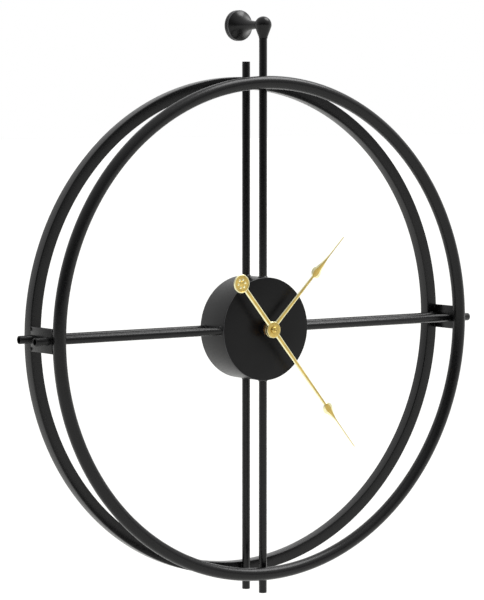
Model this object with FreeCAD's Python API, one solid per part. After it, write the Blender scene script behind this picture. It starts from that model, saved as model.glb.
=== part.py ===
import FreeCAD, Part
import math
import os

from FreeCAD import Vector

# Open-frame wall clock: two steel rings on a cross of rods, a drum with a battery movement
# at the middle, gilt hands, and one stand-off flange that the whole frame hangs from.
# Millimetres. X is to the viewer's right, Z is up and the wall is the plane Y = 0.
# A "depth" is a distance out from the wall, so a depth d lies at Y = -d.
# Pieces are drawn about the hand axis (u across, v up) and moved down to the hanger's
# origin when they are written.

# ---------------------------------------------------------------- driving dimensions

rear_ring_outer_r = 261.0
rear_bar = 12.5                 # square bar of the rear ring
rear_bar_corner = 1.0

front_ring_proud = 1.0          # how much further out the front ring's tube stands
front_tube_r = 6.8
ring_gap = 38.4                 # clear space between the two rings

rod_r = 4.15
rod_wall = 1.05                 # the rods are tube, open at their ends
rod_overshoot = 16.0            # how far each rod stands out past the rear ring
hanger_rise = 53.5              # hanger axis above the rear ring's outer edge
rod_end_chamfer = 0.5
weld_half_width = 3.0
weld_half_length = 2.2
weld_bite = 2.0                 # how far a front weld climbs the round ring

plate_thick = 3.0
plate_half_height = 12.5
plate_rod_gap = 0.05
plate_hole_past = 1.0           # how far a hole's cutter stands out of the plate

drum_r = 53.7
drum_wall = 1.2
drum_past_rear_rod = 2.3        # open rear rim behind the rear rods
drum_past_front_rod = 1.3       # face in front of the front rods
face_thick = 1.5
face_edge = 0.4

ball_r = 8.7
collar_wall = 0.6
collar_drop = 12.5              # from the ball's centre to the collar
collar_height = 1.6
rod_socket_drop = 5.0           # from the ball's centre to the rod's upper end
spigot_r = 3.0
spigot_gap = 0.05
spigot_end_gap = 0.5
ball_back_gap = 0.6
spigot_past_centre = 3.0
groove_before_centre = 2.8
groove_depth = 0.6
groove_width = 2.0
grub_r = 1.5
grub_tip_r = 0.9
grub_tip_gap = 0.3
grub_sink = 0.3
grub_key_r = 0.75
grub_key_depth = 1.5

flange_r = 16.0
flange_disc = 2.6               # thickness of each of the two stacked discs
flange_groove = 0.8
flange_groove_depth = 0.7
flange_rim = 0.6
mouth_step = 1.6                # from the disc's edge in to the flare's mouth
neck_step = 0.4                 # from the spigot out to the flare's neck
trumpet_decay = 9.6             # depth in which the flare falls to about a third
trumpet_points = 8
wall_bolt_r = 2.5
wall_bolt_depth = 12.0

# movement
room_drop = 16.6                # from the hand axis down to the battery bay's wall
room_side_gap = 0.9             # between the widest wheel and the side wall
case_corner = 3.0
case_wall = 1.2
case_back_thick = 1.5
front_plate_thick = 1.5
gasket_thick = 1.0
gasket_r = 12.0
bushing_r = 4.0
bushing_reach = 3.1             # past the drum's face
bushing_collar_step = 1.0
bushing_collar_thick = 0.7
bushing_hole_gap = 0.2
washer_width = 2.4
washer_thick = 0.5
nut_wall = 1.5                  # least metal between the nut's thread and its flats
nut_thick = 2.0
nut_crown_foot = 0.8            # the cone that rounds the nut's corners: past them behind
nut_crown_top = 0.6             # and inside them in front
running_gap = 0.05              # radial clearance of every turning fit

# battery
battery_r = 7.1
battery_body = 49.5
battery_nub = 1.0
battery_nub_r = 2.75
battery_gap = 0.4
battery_edge = 0.5
contact_thick = 0.4
contact_gap = 0.3
contact_behind = 0.2
leaf_half_width = 4.0
leaf_drop = 5.0                 # how far the flat leaf reaches behind the battery's axis
bow_room = 2.2                  # room for the bowed leaf at the battery's flat end
bow_back = 6.0
bow_front = 5.0
bow_half_width = 3.0

# gear train: tooth counts and modules
cannon_teeth, transfer_teeth, transfer_pinion_teeth, hour_teeth = 12, 36, 10, 40
centre_teeth, pinion_teeth, third_teeth, seconds_teeth, first_teeth = 64, 8, 60, 40, 48
motion_module = 0.5
centre_module = 0.34
seconds_module = 0.40
rotor_module = 0.30
addendum = 0.9
dedendum = 1.25
wheel_tooth_root = 0.30         # half widths of a tooth, in tooth pitches
pinion_tooth_root = 0.20
tooth_tip = 0.10
wheel_thick = 0.8
pinion_extra = 0.3              # a pinion stands this far past each side of its wheel
motion_clear = 0.7              # between the hour wheel and the cannon pinion
centre_clear = 0.5              # between the cannon pinion and the centre wheel
layer_clear = 0.9               # between one train wheel and the next one's pinion
axial_gap = 0.4

# places round the movement, as angles seen from the front
transfer_angle = 180.0
knob_angle = 120.0
third_angle = 0.0
first_angle = 150.0
rotor_angle = 70.0

stud_r = 0.45
stud_past = 0.3
rotor_stud_past = 0.4
boss_r = 1.2
train_hub_r = 0.85
cannon_r = 1.6
cannon_foot = 0.2
cannon_thread_step = 0.4
hour_tube_r = 2.5
transfer_stud_r = 0.75
rotor_stud_r = 0.35
knob_shaft_r = 1.5
knob_r = 5.5
knob_thick = 2.6
knob_boss_r = 3.0
knob_boss_height = 5.0
knob_ribs = 20
knob_rib_depth = 0.4
magnet_r = 2.5
magnet_thick = 3.0
magnet_gap = 0.2                # between the rotor's pinion and its magnet
magnet_hub_wall = 0.35
stator_gap = 0.6
stator_lift = 0.1
stator_thick = 1.0
stator_lobe_wall = 1.9
stator_arm = 3.0
coil_wire_r = 2.5
coil_half_length = 8.0
coil_flange_r = 2.95
coil_flange_thick = 0.8
coil_back_gap = 0.75
coil_arm_gap = 0.35
core_half_width = 1.5
core_half_length = 12.0
coil_centre_u = 12.0
coil_centre_v = 15.6
return_arm_width = 1.6
return_arm_gap = 0.3
board_thick = 1.0
board_side_gap = 2.8
board_height = 6.6
board_gap = 0.4
board_lift = 1.0
board_leg_r = 0.9
board_leg_in = 2.0
board_leg_up = 2.5
crystal_r = 1.0
crystal_length = 6.0
crystal_u = 5.0
blob_r = 2.5
blob_height = 1.1
blob_u = -6.0

# hands
hand_thick = 1.2
hour_hand_rise = 10.5           # from the drum's face to the middle of the hour hand's blade
hand_pitch = 3.0                # from the hour hand's blade to the minute hand's
hand_gap = 0.3
hand_hub_r = 8.4
hour_boss_r = 6.75
hour_boss_gap = 0.5
minute_boss_r = 5.0
cap_r = 3.6
cap_height = 2.2
cap_wall = 0.8
stem_root_half = 2.6
stem_tip_half = 1.5
bulge_r = 6.0
needle_root_half = 0.65
needle_tip_half = 0.4
thinning_hollow = 0.72          # middle width of the hollow taper, as a part of a straight one's
minute_length = 166.7
minute_bulge = 111.3            # distance of the bulge's centre from the axis
minute_needle = 130.5           # where the bulge has thinned to the needle
minute_tail = 63.8
tail_disc_r = 9.7
tail_rim = 1.4
tail_recess = 0.35
tail_boss_r = 3.6
hour_length = 131.6
hour_bulge = 81.0
hour_needle = 108.5
minute_angle = 140.6            # clockwise from twelve o'clock
hour_angle = 45.0

# ---------------------------------------------------------------- derived places

hang_drop = rear_ring_outer_r + hanger_rise
rod_reach = rear_ring_outer_r + rod_overshoot
rear_ring_mid_r = rear_ring_outer_r - rear_bar / 2
front_ring_mid_r = rear_ring_outer_r + front_ring_proud - front_tube_r
front_ring_depth = rear_bar + ring_gap + front_tube_r
rear_rod_depth = rear_bar + rod_r
front_rod_depth = front_ring_depth - front_tube_r - rod_r
ball_depth = front_rod_depth
collar_r = rod_r + collar_wall

drum_back = rear_rod_depth - rod_r - drum_past_rear_rod
drum_front = front_rod_depth + rod_r + drum_past_front_rod
face_back = drum_front - face_thick
plate_front = face_back - gasket_thick
plate_back = plate_front - front_plate_thick
bushing_front = drum_front + bushing_reach
bushing_collar_r = bushing_r + bushing_collar_step
hour_hand_depth = drum_front + hour_hand_rise
minute_hand_depth = hour_hand_depth + hand_pitch

transfer_distance = motion_module * (cannon_teeth + transfer_teeth) / 2
hour_module = 2 * transfer_distance / (transfer_pinion_teeth + hour_teeth)
third_distance = centre_module * (centre_teeth + pinion_teeth) / 2
third_module = 2 * third_distance / (third_teeth + pinion_teeth)
first_distance = seconds_module * (seconds_teeth + pinion_teeth) / 2
rotor_distance = rotor_module * (first_teeth + pinion_teeth) / 2
knob_distance = transfer_distance

pinion_half = wheel_thick / 2 + pinion_extra
hour_wheel_depth = plate_back - axial_gap - wheel_thick / 2
transfer_depth = hour_wheel_depth - wheel_thick / 2 - motion_clear - pinion_half
centre_depth = transfer_depth - pinion_half - centre_clear - wheel_thick / 2
layer_pitch = wheel_thick / 2 + layer_clear + pinion_half
third_depth = centre_depth - layer_pitch
seconds_depth = third_depth - layer_pitch
first_depth = seconds_depth - layer_pitch
magnet_back = first_depth + pinion_half + magnet_gap
magnet_front = magnet_back + magnet_thick
magnet_hub_r = rotor_stud_r + running_gap + magnet_hub_wall
stator_back = magnet_back + stator_lift
stator_front = stator_back + stator_thick
case_back_inner = stator_back - stator_thick / 2 - coil_flange_r - coil_back_gap
case_back = case_back_inner - case_back_thick


def polar(centre, distance, degrees):
    """A point in the (u, v) plane at a distance and angle from another."""
    angle = math.radians(degrees)
    return centre[0] + distance * math.cos(angle), centre[1] + distance * math.sin(angle)


axis_spot = (0.0, 0.0)
transfer_spot = polar(axis_spot, transfer_distance, transfer_angle)
knob_spot = polar(transfer_spot, knob_distance, knob_angle)
third_spot = polar(axis_spot, third_distance, third_angle)
first_spot = polar(axis_spot, first_distance, first_angle)
rotor_spot = polar(first_spot, rotor_distance, rotor_angle)

partition_v = -room_drop - case_wall
battery_v = partition_v - battery_gap - battery_r
battery_depth = plate_back - battery_gap - battery_r
case_bottom = battery_r + battery_gap + case_wall - battery_v
battery_room = bow_room + battery_body + battery_nub + contact_gap + contact_thick + contact_behind
train_room = third_distance + third_module * (third_teeth / 2 + addendum) + room_side_gap
cavity_half = max(battery_room / 2, train_room)
case_half_width = cavity_half + case_wall
battery_left = -battery_room / 2 + bow_room

core_left = coil_centre_u - core_half_length
core_right = coil_centre_u + core_half_length
core_low = coil_centre_v - core_half_width
core_high = coil_centre_v + core_half_width
return_arm_low = coil_centre_v + coil_flange_r + coil_arm_gap
return_arm_high = return_arm_low + return_arm_width
case_top = return_arm_high + return_arm_gap + case_wall

board_back = case_back_inner + board_lift
board_front = board_back + board_thick
board_low = -room_drop + board_gap
board_high = board_low + board_height
board_half_width = cavity_half - board_side_gap
cannon_thread_r = cannon_r - cannon_thread_step

# ---------------------------------------------------------------- solids helpers


def disc(radius, back, front, spot=axis_spot):
    """A cylinder along the depth, between two depths."""
    base = Vector(spot[0], -front, spot[1])
    return Part.makeCylinder(radius, front - back, base, Vector(0, 1, 0))


def tube(outer, inner, back, front, spot=axis_spot):
    return disc(outer, back, front, spot).cut(disc(inner, back, front, spot))


def block(u0, u1, back, front, v0, v1):
    """A box between two values of u, of depth and of v."""
    return Part.makeBox(u1 - u0, front - back, v1 - v0, Vector(u0, -front, v0))


def join(first, *others):
    return first.multiFuse(list(others)).removeSplitter()


def bar_along(direction, start, end, depth, radius=rod_r):
    """A round rod from one distance to another along a direction in the (u, v) plane."""
    base = Vector(direction[0] * start, -depth, direction[1] * start)
    return Part.makeCylinder(radius, end - start, base, Vector(direction[0], 0, direction[1]))


def bored(rod, direction, reach, depth):
    """Opens a rod into a tube, from the drum's wall through its outer end."""
    return rod.cut(bar_along(direction, 0, reach + rod_r, depth, rod_r - rod_wall))


def chamfer_end(shape, distance, direction, size):
    """Bevels the circular edge at a rod's free end."""
    ends = []
    for edge in shape.Edges:
        middle = edge.CenterOfMass
        along = middle.x * direction[0] + middle.z * direction[1]
        if abs(along - distance) < 1e-6:
            ends.append(edge)
    return shape.makeChamfer(size, ends)


def prism(points, back, front):
    """Extrudes a closed outline of (u, v) points between two depths."""
    corners = [Vector(u, -front, v) for u, v in points]
    face = Part.Face(Part.makePolygon(corners + corners[:1]))
    return face.extrude(Vector(0, front - back, 0))


# ---------------------------------------------------------------- rings, rods and plates


def rear_ring():
    inner = rear_ring_outer_r - rear_bar
    ring = tube(rear_ring_outer_r, inner, 0, rear_bar)
    corners = [edge for edge in ring.Edges if edge.Closed]
    return ring.makeFillet(rear_bar_corner, corners)


def front_ring():
    centre = Vector(0, -front_ring_depth, 0)
    return Part.makeTorus(front_ring_mid_r, front_tube_r, centre, Vector(0, 1, 0))


def weld_pad(direction, middle, back, front):
    """The weld that fills the angle between a rod and a ring."""
    across = (-direction[1], direction[0])
    corners = []
    for along, side in ((-1, -1), (1, -1), (1, 1), (-1, 1)):
        reach = middle + along * weld_half_length
        offset = side * weld_half_width
        corners.append((direction[0] * reach + across[0] * offset,
                        direction[1] * reach + across[1] * offset))
    return prism(corners, back, front)


def rear_rod(direction):
    rod = bar_along(direction, drum_r - drum_wall, rod_reach, rear_rod_depth)
    rod = chamfer_end(rod, rod_reach, direction, rod_end_chamfer)
    pad = weld_pad(direction, rear_ring_mid_r, rear_bar, rear_rod_depth)
    rod = join(rod, pad).cut(disc(drum_r, 0, drum_front))
    return bored(rod, direction, rod_reach, rear_rod_depth)


def front_rod(direction, reach=rod_reach, bevel=rod_end_chamfer):
    rod = bar_along(direction, drum_r - drum_wall, reach, front_rod_depth)
    rod = chamfer_end(rod, reach, direction, bevel)
    pad_front = front_ring_depth - front_tube_r + weld_bite
    pad = weld_pad(direction, front_ring_mid_r, front_rod_depth, pad_front)
    rod = join(rod, pad).cut(front_ring()).cut(disc(drum_r, 0, drum_front))
    return bored(rod, direction, reach, front_rod_depth)


def side_plate(side):
    """The flat link welded between the two rings at three and nine o'clock."""
    outer = rear_ring_outer_r
    inner = outer - plate_thick
    u0, u1 = sorted((side * inner, side * outer))
    plate = block(u0, u1, rear_bar, front_ring_depth, -plate_half_height, plate_half_height)
    plate = plate.cut(front_ring())
    # the far side of the tube leaves an offcut, which is dropped
    plate = max(plate.Solids, key=lambda solid: solid.Volume)
    for depth in (rear_rod_depth, front_rod_depth):
        hole_base = Vector(u0 - plate_hole_past, -depth, 0)
        hole = Part.makeCylinder(rod_r + plate_rod_gap, plate_thick + 2 * plate_hole_past,
                                 hole_base, Vector(1, 0, 0))
        plate = plate.cut(hole)
    return plate


# ---------------------------------------------------------------- hanger


def hanger_ball():
    """Ball with a tangent cone and a collar that takes the front rod's upper end."""
    centre = Vector(0, -ball_depth, hang_drop)
    ball = Part.makeSphere(ball_r, centre)
    reach = math.hypot(collar_r, collar_drop)
    tangent = -math.atan2(collar_drop, collar_r) + math.acos(ball_r / reach)
    cone_r = ball_r * math.cos(tangent)
    cone_top = -ball_r * math.sin(tangent)
    cone = Part.makeCone(collar_r, cone_r, collar_drop - cone_top, centre - Vector(0, 0, collar_drop))
    collar_base = centre - Vector(0, 0, collar_drop + collar_height)
    collar = Part.makeCylinder(collar_r, collar_height, collar_base)
    body = join(ball, cone, collar)
    bore_end = ball_depth + spigot_past_centre + spigot_end_gap
    body = body.cut(disc(spigot_r + spigot_gap, 0, bore_end, (0, hang_drop)))
    socket = Part.makeCylinder(rod_r, collar_drop + collar_height - rod_socket_drop, collar_base)
    body = body.cut(socket)
    grub_base = Vector(0, -(ball_depth - groove_before_centre), hang_drop)
    return body.cut(Part.makeCylinder(grub_r, ball_r, grub_base, Vector(1, 0, 0)))


def hanger_grub_screw():
    """Socket set screw whose tip runs in the spigot's groove."""
    depth = ball_depth - groove_before_centre
    outer_end = math.sqrt(ball_r ** 2 - groove_before_centre ** 2) - grub_sink
    tip_end = spigot_r - groove_depth + grub_tip_gap
    body_end = spigot_r + 2 * grub_tip_gap
    axis = Vector(1, 0, 0)
    body = Part.makeCylinder(grub_r, outer_end - body_end, Vector(body_end, -depth, hang_drop), axis)
    tip = Part.makeCylinder(grub_tip_r, body_end - tip_end, Vector(tip_end, -depth, hang_drop), axis)
    key_base = Vector(outer_end - grub_key_depth, -depth, hang_drop)
    key = Part.makeCylinder(grub_key_r, grub_key_depth, key_base, axis)
    return join(body, tip).cut(key)


def wall_flange():
    """Turned stand-off: two stacked discs, a concave flare, a neck and a grooved spigot."""
    shoulder = ball_depth - ball_r - ball_back_gap
    spigot_end = ball_depth + spigot_past_centre
    flare_start = 2 * flange_disc + flange_groove + flange_rim
    mouth_r = flange_r - mouth_step
    neck_r = spigot_r + neck_step
    flare_points = []
    for step in range(trumpet_points):
        depth = flare_start + (shoulder - flare_start) * step / (trumpet_points - 1)
        fall = math.exp(-(depth - flare_start) / trumpet_decay)
        radius = neck_r + (mouth_r - neck_r) * fall
        flare_points.append(Vector(radius, -depth, 0))
    flare = Part.BSplineCurve()
    flare.interpolate(flare_points)
    waist_r = flange_r - flange_groove_depth
    disc_top = 2 * flange_disc + flange_groove
    rim_points = [(0, 0), (flange_r, 0), (flange_r, flange_disc), (waist_r, flange_disc),
                  (waist_r, flange_disc + flange_groove), (flange_r, flange_disc + flange_groove),
                  (flange_r, disc_top - flange_rim), (flange_r - flange_rim, disc_top)]
    rim = [Vector(radius, -depth, 0) for radius, depth in rim_points]
    rim.append(flare_points[0])
    nose = [flare_points[-1], Vector(spigot_r, -shoulder, 0), Vector(spigot_r, -spigot_end, 0),
            Vector(0, -spigot_end, 0), Vector(0, 0, 0)]
    wire = Part.Wire([Part.makePolygon(rim), flare.toShape(), Part.makePolygon(nose)])
    body = Part.Face(wire).revolve(Vector(0, 0, 0), Vector(0, 1, 0), 360)
    groove_middle = ball_depth - groove_before_centre
    groove = tube(spigot_r + groove_depth, spigot_r - groove_depth,
                  groove_middle - groove_width / 2, groove_middle + groove_width / 2)
    body = body.cut(groove).cut(disc(wall_bolt_r, 0, wall_bolt_depth))
    body.translate(Vector(0, 0, hang_drop))
    return body


# ---------------------------------------------------------------- drum


def drum_band():
    return tube(drum_r, drum_r - drum_wall, drum_back, face_back)


def drum_face():
    face = disc(drum_r, face_back, drum_front)
    front_edges = [edge for edge in face.Edges if edge.Closed and edge.CenterOfMass.y < -face_back - 1e-6]
    face = face.makeFillet(face_edge, front_edges)
    return face.cut(disc(bushing_r + bushing_hole_gap, face_back, drum_front))


def rubber_gasket():
    return tube(gasket_r, bushing_collar_r + bushing_hole_gap, plate_front, face_back)


# ---------------------------------------------------------------- gears


def gear_blank(teeth, module, back, front, spot, tooth_at, root_half):
    """A toothed disc with straight-flanked teeth; one tooth points at the angle tooth_at."""
    pitch_r = teeth * module / 2
    root_r = pitch_r - dedendum * module
    tip_r = pitch_r + addendum * module
    pitch = 360.0 / teeth
    points = []
    for tooth in range(teeth):
        middle = tooth_at + tooth * pitch
        for radius, half in ((root_r, -root_half), (tip_r, -tooth_tip),
                             (tip_r, tooth_tip), (root_r, root_half)):
            points.append(polar(spot, radius, middle + half * pitch))
    return prism(points, back, front)


def wheel(teeth, module, depth, spot, tooth_at, thick=wheel_thick):
    return gear_blank(teeth, module, depth - thick / 2, depth + thick / 2, spot, tooth_at,
                      wheel_tooth_root)


def pinion(teeth, module, depth, spot, tooth_at):
    return gear_blank(teeth, module, depth - pinion_half, depth + pinion_half, spot, tooth_at,
                      pinion_tooth_root)


def mate_phase(phase, teeth, direction, mate_teeth):
    """Where a mating gear has a tooth, so that its gap meets the first gear's tooth."""
    lead = (phase - direction) * teeth / mate_teeth
    return direction + 180.0 - lead + 180.0 / mate_teeth


transfer_phase = mate_phase(transfer_angle, cannon_teeth, transfer_angle, transfer_teeth)
knob_phase = mate_phase(transfer_phase, transfer_teeth, knob_angle, cannon_teeth)
hour_phase = mate_phase(transfer_angle + 180.0, transfer_pinion_teeth, transfer_angle + 180.0, hour_teeth)
third_pinion_phase = mate_phase(third_angle, centre_teeth, third_angle, pinion_teeth)
seconds_pinion_phase = mate_phase(third_angle + 180.0, third_teeth, third_angle + 180.0, pinion_teeth)
first_pinion_phase = mate_phase(first_angle, seconds_teeth, first_angle, pinion_teeth)
rotor_phase = mate_phase(rotor_angle, first_teeth, rotor_angle, pinion_teeth)


def minute_cannon():
    """The arbor that carries the minute hand, with the cannon pinion at its foot."""
    foot = centre_depth - wheel_thick / 2 - cannon_foot
    top = minute_hand_depth + hand_thick / 2
    shaft = disc(cannon_r, foot, top)
    thread = disc(cannon_thread_r, top, top + cap_height - cap_wall)
    teeth = pinion(cannon_teeth, motion_module, transfer_depth, axis_spot, transfer_angle)
    return join(shaft, thread, teeth)


def centre_wheel():
    body = wheel(centre_teeth, centre_module, centre_depth, axis_spot, third_angle)
    return body.cut(disc(cannon_r, 0, drum_front))


def transfer_wheel():
    """Minute wheel and its pinion, turning on the front plate's stud."""
    big = wheel(transfer_teeth, motion_module, transfer_depth, transfer_spot, transfer_phase)
    small = pinion(transfer_pinion_teeth, hour_module, hour_wheel_depth, transfer_spot,
                   transfer_angle + 180.0)
    hub = disc(boss_r, transfer_depth, hour_wheel_depth, transfer_spot)
    bore = disc(transfer_stud_r + running_gap, 0, drum_front, transfer_spot)
    return join(big, small, hub).cut(bore)


def hour_wheel():
    """Hour wheel with the tube that carries the hour hand."""
    top = hour_hand_depth + hand_thick / 2
    body = wheel(hour_teeth, hour_module, hour_wheel_depth, axis_spot, hour_phase)
    sleeve = disc(hour_tube_r, hour_wheel_depth, top)
    bore = disc(cannon_r + running_gap, 0, top)
    return join(body, sleeve).cut(bore)


def train_piece(big, small, spot, low, high, bore_r):
    """A wheel and pinion on one hub, bored to run on a stud."""
    hub = disc(train_hub_r, low, high, spot)
    return join(big, small, hub).cut(disc(bore_r + running_gap, 0, drum_front, spot))


def third_wheel():
    big = wheel(third_teeth, third_module, third_depth, third_spot, third_angle + 180.0)
    small = pinion(pinion_teeth, centre_module, centre_depth, third_spot, third_pinion_phase)
    return train_piece(big, small, third_spot, third_depth, centre_depth, stud_r)


def seconds_wheel():
    big = wheel(seconds_teeth, seconds_module, seconds_depth, axis_spot, first_angle)
    small = pinion(pinion_teeth, third_module, third_depth, axis_spot, seconds_pinion_phase)
    return train_piece(big, small, axis_spot, seconds_depth, third_depth, stud_r)


def first_wheel():
    big = wheel(first_teeth, rotor_module, first_depth, first_spot, rotor_angle)
    small = pinion(pinion_teeth, seconds_module, seconds_depth, first_spot, first_pinion_phase)
    return train_piece(big, small, first_spot, first_depth, seconds_depth, stud_r)


def rotor_pinion():
    teeth = pinion(pinion_teeth, rotor_module, first_depth, rotor_spot, rotor_phase)
    hub = disc(magnet_hub_r, first_depth, magnet_front, rotor_spot)
    return join(teeth, hub).cut(disc(rotor_stud_r + running_gap, 0, drum_front, rotor_spot))


def rotor_magnet():
    return tube(magnet_r, magnet_hub_r, magnet_back, magnet_front, rotor_spot)


def setting_knob():
    """Ribbed thumb wheel behind the case, its shaft and the gear that turns the hands."""
    front = case_back - axial_gap
    points = []
    for rib in range(knob_ribs * 2):
        radius = knob_r if rib % 2 else knob_r - knob_rib_depth
        points.append(polar(knob_spot, radius, rib * 180.0 / knob_ribs))
    grip = prism(points, front - knob_thick, front)
    shaft = disc(knob_shaft_r, front - knob_thick, transfer_depth, knob_spot)
    teeth = wheel(cannon_teeth, motion_module, transfer_depth, knob_spot, knob_phase)
    return join(grip, shaft, teeth)


# ---------------------------------------------------------------- movement case and fixings


def case_outline(back, front):
    body = block(-case_half_width, case_half_width, back, front, -case_bottom, case_top)
    corners = [edge for edge in body.Edges if abs(edge.Length - (front - back)) < 1e-6
               and abs(edge.tangentAt(edge.FirstParameter).y) > 0.9]
    return body.makeFillet(case_corner, corners)


def movement_front():
    """Front plate of the movement, with the stud of the transfer wheel."""
    plate = case_outline(plate_back, plate_front)
    stud = disc(transfer_stud_r, transfer_depth - wheel_thick / 2, plate_front, transfer_spot)
    return join(plate, stud).cut(disc(bushing_r, 0, drum_front))


def case_studs():
    """Studs and their shoulders that stand on the inside of the case's back."""
    low = case_back
    pieces = []
    for spot, shoulder, highest in ((third_spot, third_depth, centre_depth),
                                    (axis_spot, seconds_depth, third_depth),
                                    (first_spot, first_depth, seconds_depth)):
        pieces.append(disc(stud_r, low, highest + pinion_half + stud_past, spot))
        pieces.append(disc(boss_r, low, shoulder - wheel_thick / 2 - axial_gap, spot))
    pieces.append(disc(rotor_stud_r, low, magnet_front + rotor_stud_past, rotor_spot))
    rotor_shoulder = first_depth - pinion_half - axial_gap
    pieces.append(disc(boss_r, low, rotor_shoulder, rotor_spot))
    pieces.append(disc(knob_boss_r, low, case_back_inner + knob_boss_height, knob_spot))
    return pieces


def movement_rear():
    """Tray of the movement: gear room above, battery bay below, open to the back."""
    body = case_outline(case_back, plate_back)
    room = block(-cavity_half, cavity_half, case_back_inner, plate_back,
                 partition_v + case_wall, case_top - case_wall)
    bay = block(-cavity_half, cavity_half, case_back, plate_back,
                -case_bottom + case_wall, partition_v)
    body = body.cut(room).cut(bay)
    body = join(body, *case_studs())
    return body.cut(disc(knob_shaft_r + running_gap, 0, plate_back, knob_spot))


def centre_bushing():
    """Threaded tube that clamps the movement to the drum's face and guides the hour tube."""
    body = disc(bushing_r, plate_back, bushing_front)
    collar = disc(bushing_collar_r, plate_front, plate_front + bushing_collar_thick)
    return join(body, collar).cut(disc(hour_tube_r + running_gap, 0, bushing_front))


def dial_washer():
    return tube(bushing_r + washer_width, bushing_r, drum_front, drum_front + washer_thick)


def dial_nut():
    back = drum_front + washer_thick
    corner_r = 2 * (bushing_r + nut_wall) / math.sqrt(3)
    hexagon = [polar(axis_spot, corner_r, 60.0 * side) for side in range(6)]
    body = prism(hexagon, back, back + nut_thick)
    crown = Part.makeCone(corner_r + nut_crown_foot, corner_r - nut_crown_top, nut_thick,
                          Vector(0, -back, 0), Vector(0, -1, 0))
    return body.common(crown).cut(disc(bushing_r, back, back + nut_thick))


# ---------------------------------------------------------------- motor and electrics


def coil_core():
    return block(core_left, core_right, stator_back - stator_thick, stator_back, core_low, core_high)


def coil_winding():
    """Bobbin with its two cheeks and the wire between them, threaded on the iron core."""
    middle = stator_back - stator_thick / 2
    axis = Vector(1, 0, 0)
    start = coil_centre_u - coil_half_length
    wire_base = Vector(start, -middle, coil_centre_v)
    wire = Part.makeCylinder(coil_wire_r, 2 * coil_half_length, wire_base, axis)
    cheeks = []
    for left in (start, coil_centre_u + coil_half_length - coil_flange_thick):
        base = Vector(left, -middle, coil_centre_v)
        cheeks.append(Part.makeCylinder(coil_flange_r, coil_flange_thick, base, axis))
    return join(wire, *cheeks).cut(coil_core())


def stator():
    """Soft-iron plate: a ring round the magnet and two arms to the ends of the core."""
    hole_r = magnet_r + stator_gap
    lobe = disc(hole_r + stator_lobe_wall, stator_back, stator_front, rotor_spot)
    near_arm = block(rotor_spot[0], core_left + stator_arm, stator_back, stator_front,
                     core_low, core_high)
    riser = block(rotor_spot[0], rotor_spot[0] + stator_arm, stator_back, stator_front,
                  rotor_spot[1], return_arm_high)
    far_arm = block(rotor_spot[0], core_right, stator_back, stator_front,
                    return_arm_low, return_arm_high)
    drop = block(core_right - stator_arm, core_right, stator_back, stator_front,
                 core_low, return_arm_high)
    hole = disc(hole_r, stator_back, stator_front, rotor_spot)
    return join(lobe, near_arm, riser, far_arm, drop).cut(hole)


def circuit_board():
    board = block(-board_half_width, board_half_width, board_back, board_front, board_low, board_high)
    for side in (-1, 1):
        leg_spot = (side * (board_half_width - board_leg_in), board_low + board_leg_up)
        board = join(board, disc(board_leg_r, case_back_inner, board_back, leg_spot))
    return board


def chip_blob():
    """Dome of resin over the chip."""
    sphere_r = (blob_r ** 2 + blob_height ** 2) / (2 * blob_height)
    middle_v = (board_low + board_high) / 2
    centre = Vector(blob_u, -(board_front + blob_height - sphere_r), middle_v)
    dome = Part.makeSphere(sphere_r, centre)
    keep = disc(blob_r, board_front, board_front + blob_height, (blob_u, middle_v))
    return dome.common(keep)


def quartz_crystal():
    base = Vector(crystal_u, -(board_front + crystal_r), (board_low + board_high) / 2)
    return Part.makeCylinder(crystal_r, crystal_length, base, Vector(1, 0, 0))


def battery_cell():
    axis = Vector(1, 0, 0)
    body = Part.makeCylinder(battery_r, battery_body, Vector(battery_left, -battery_depth, battery_v), axis)
    nub_base = Vector(battery_left + battery_body, -battery_depth, battery_v)
    nub = Part.makeCylinder(battery_nub_r, battery_nub, nub_base, axis)
    ends = [edge for edge in body.Edges if edge.Closed]
    return join(body.makeFillet(battery_edge, ends), nub)


def contact_positive():
    """Flat spring leaf that the battery's nub presses on."""
    right = battery_left + battery_body + battery_nub + contact_gap
    return block(right, right + contact_thick, battery_depth - leaf_drop, plate_back,
                 battery_v - leaf_half_width, battery_v + leaf_half_width)


def contact_negative():
    """Bowed spring leaf at the battery's flat end."""
    wall = -cavity_half
    crest = battery_left - contact_gap
    depths = (battery_depth - bow_back, battery_depth, battery_depth + bow_front)
    outer = [(wall, depths[0]), (crest - contact_thick, depths[1]), (wall, depths[2])]
    inner = [(wall + contact_thick, depths[2]), (crest, depths[1]), (wall + contact_thick, depths[0])]
    corners = [Vector(u, -depth, battery_v - bow_half_width) for u, depth in outer + inner]
    face = Part.Face(Part.makePolygon(corners + corners[:1]))
    return face.extrude(Vector(0, 0, 2 * bow_half_width))


# ---------------------------------------------------------------- hands


def flat_face(edges):
    return Part.Face(Part.Wire(edges))


def circle_face(along, radius):
    circle = Part.makeCircle(radius, Vector(0, 0, along), Vector(0, 1, 0))
    return flat_face([circle])


def bar_face(start, start_half, end, end_half):
    """A tapering strip along the hand, between two distances from the axis."""
    corners = [Vector(-start_half, 0, start), Vector(-end_half, 0, end),
               Vector(end_half, 0, end), Vector(start_half, 0, start)]
    return Part.Face(Part.makePolygon(corners + corners[:1]))


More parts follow.
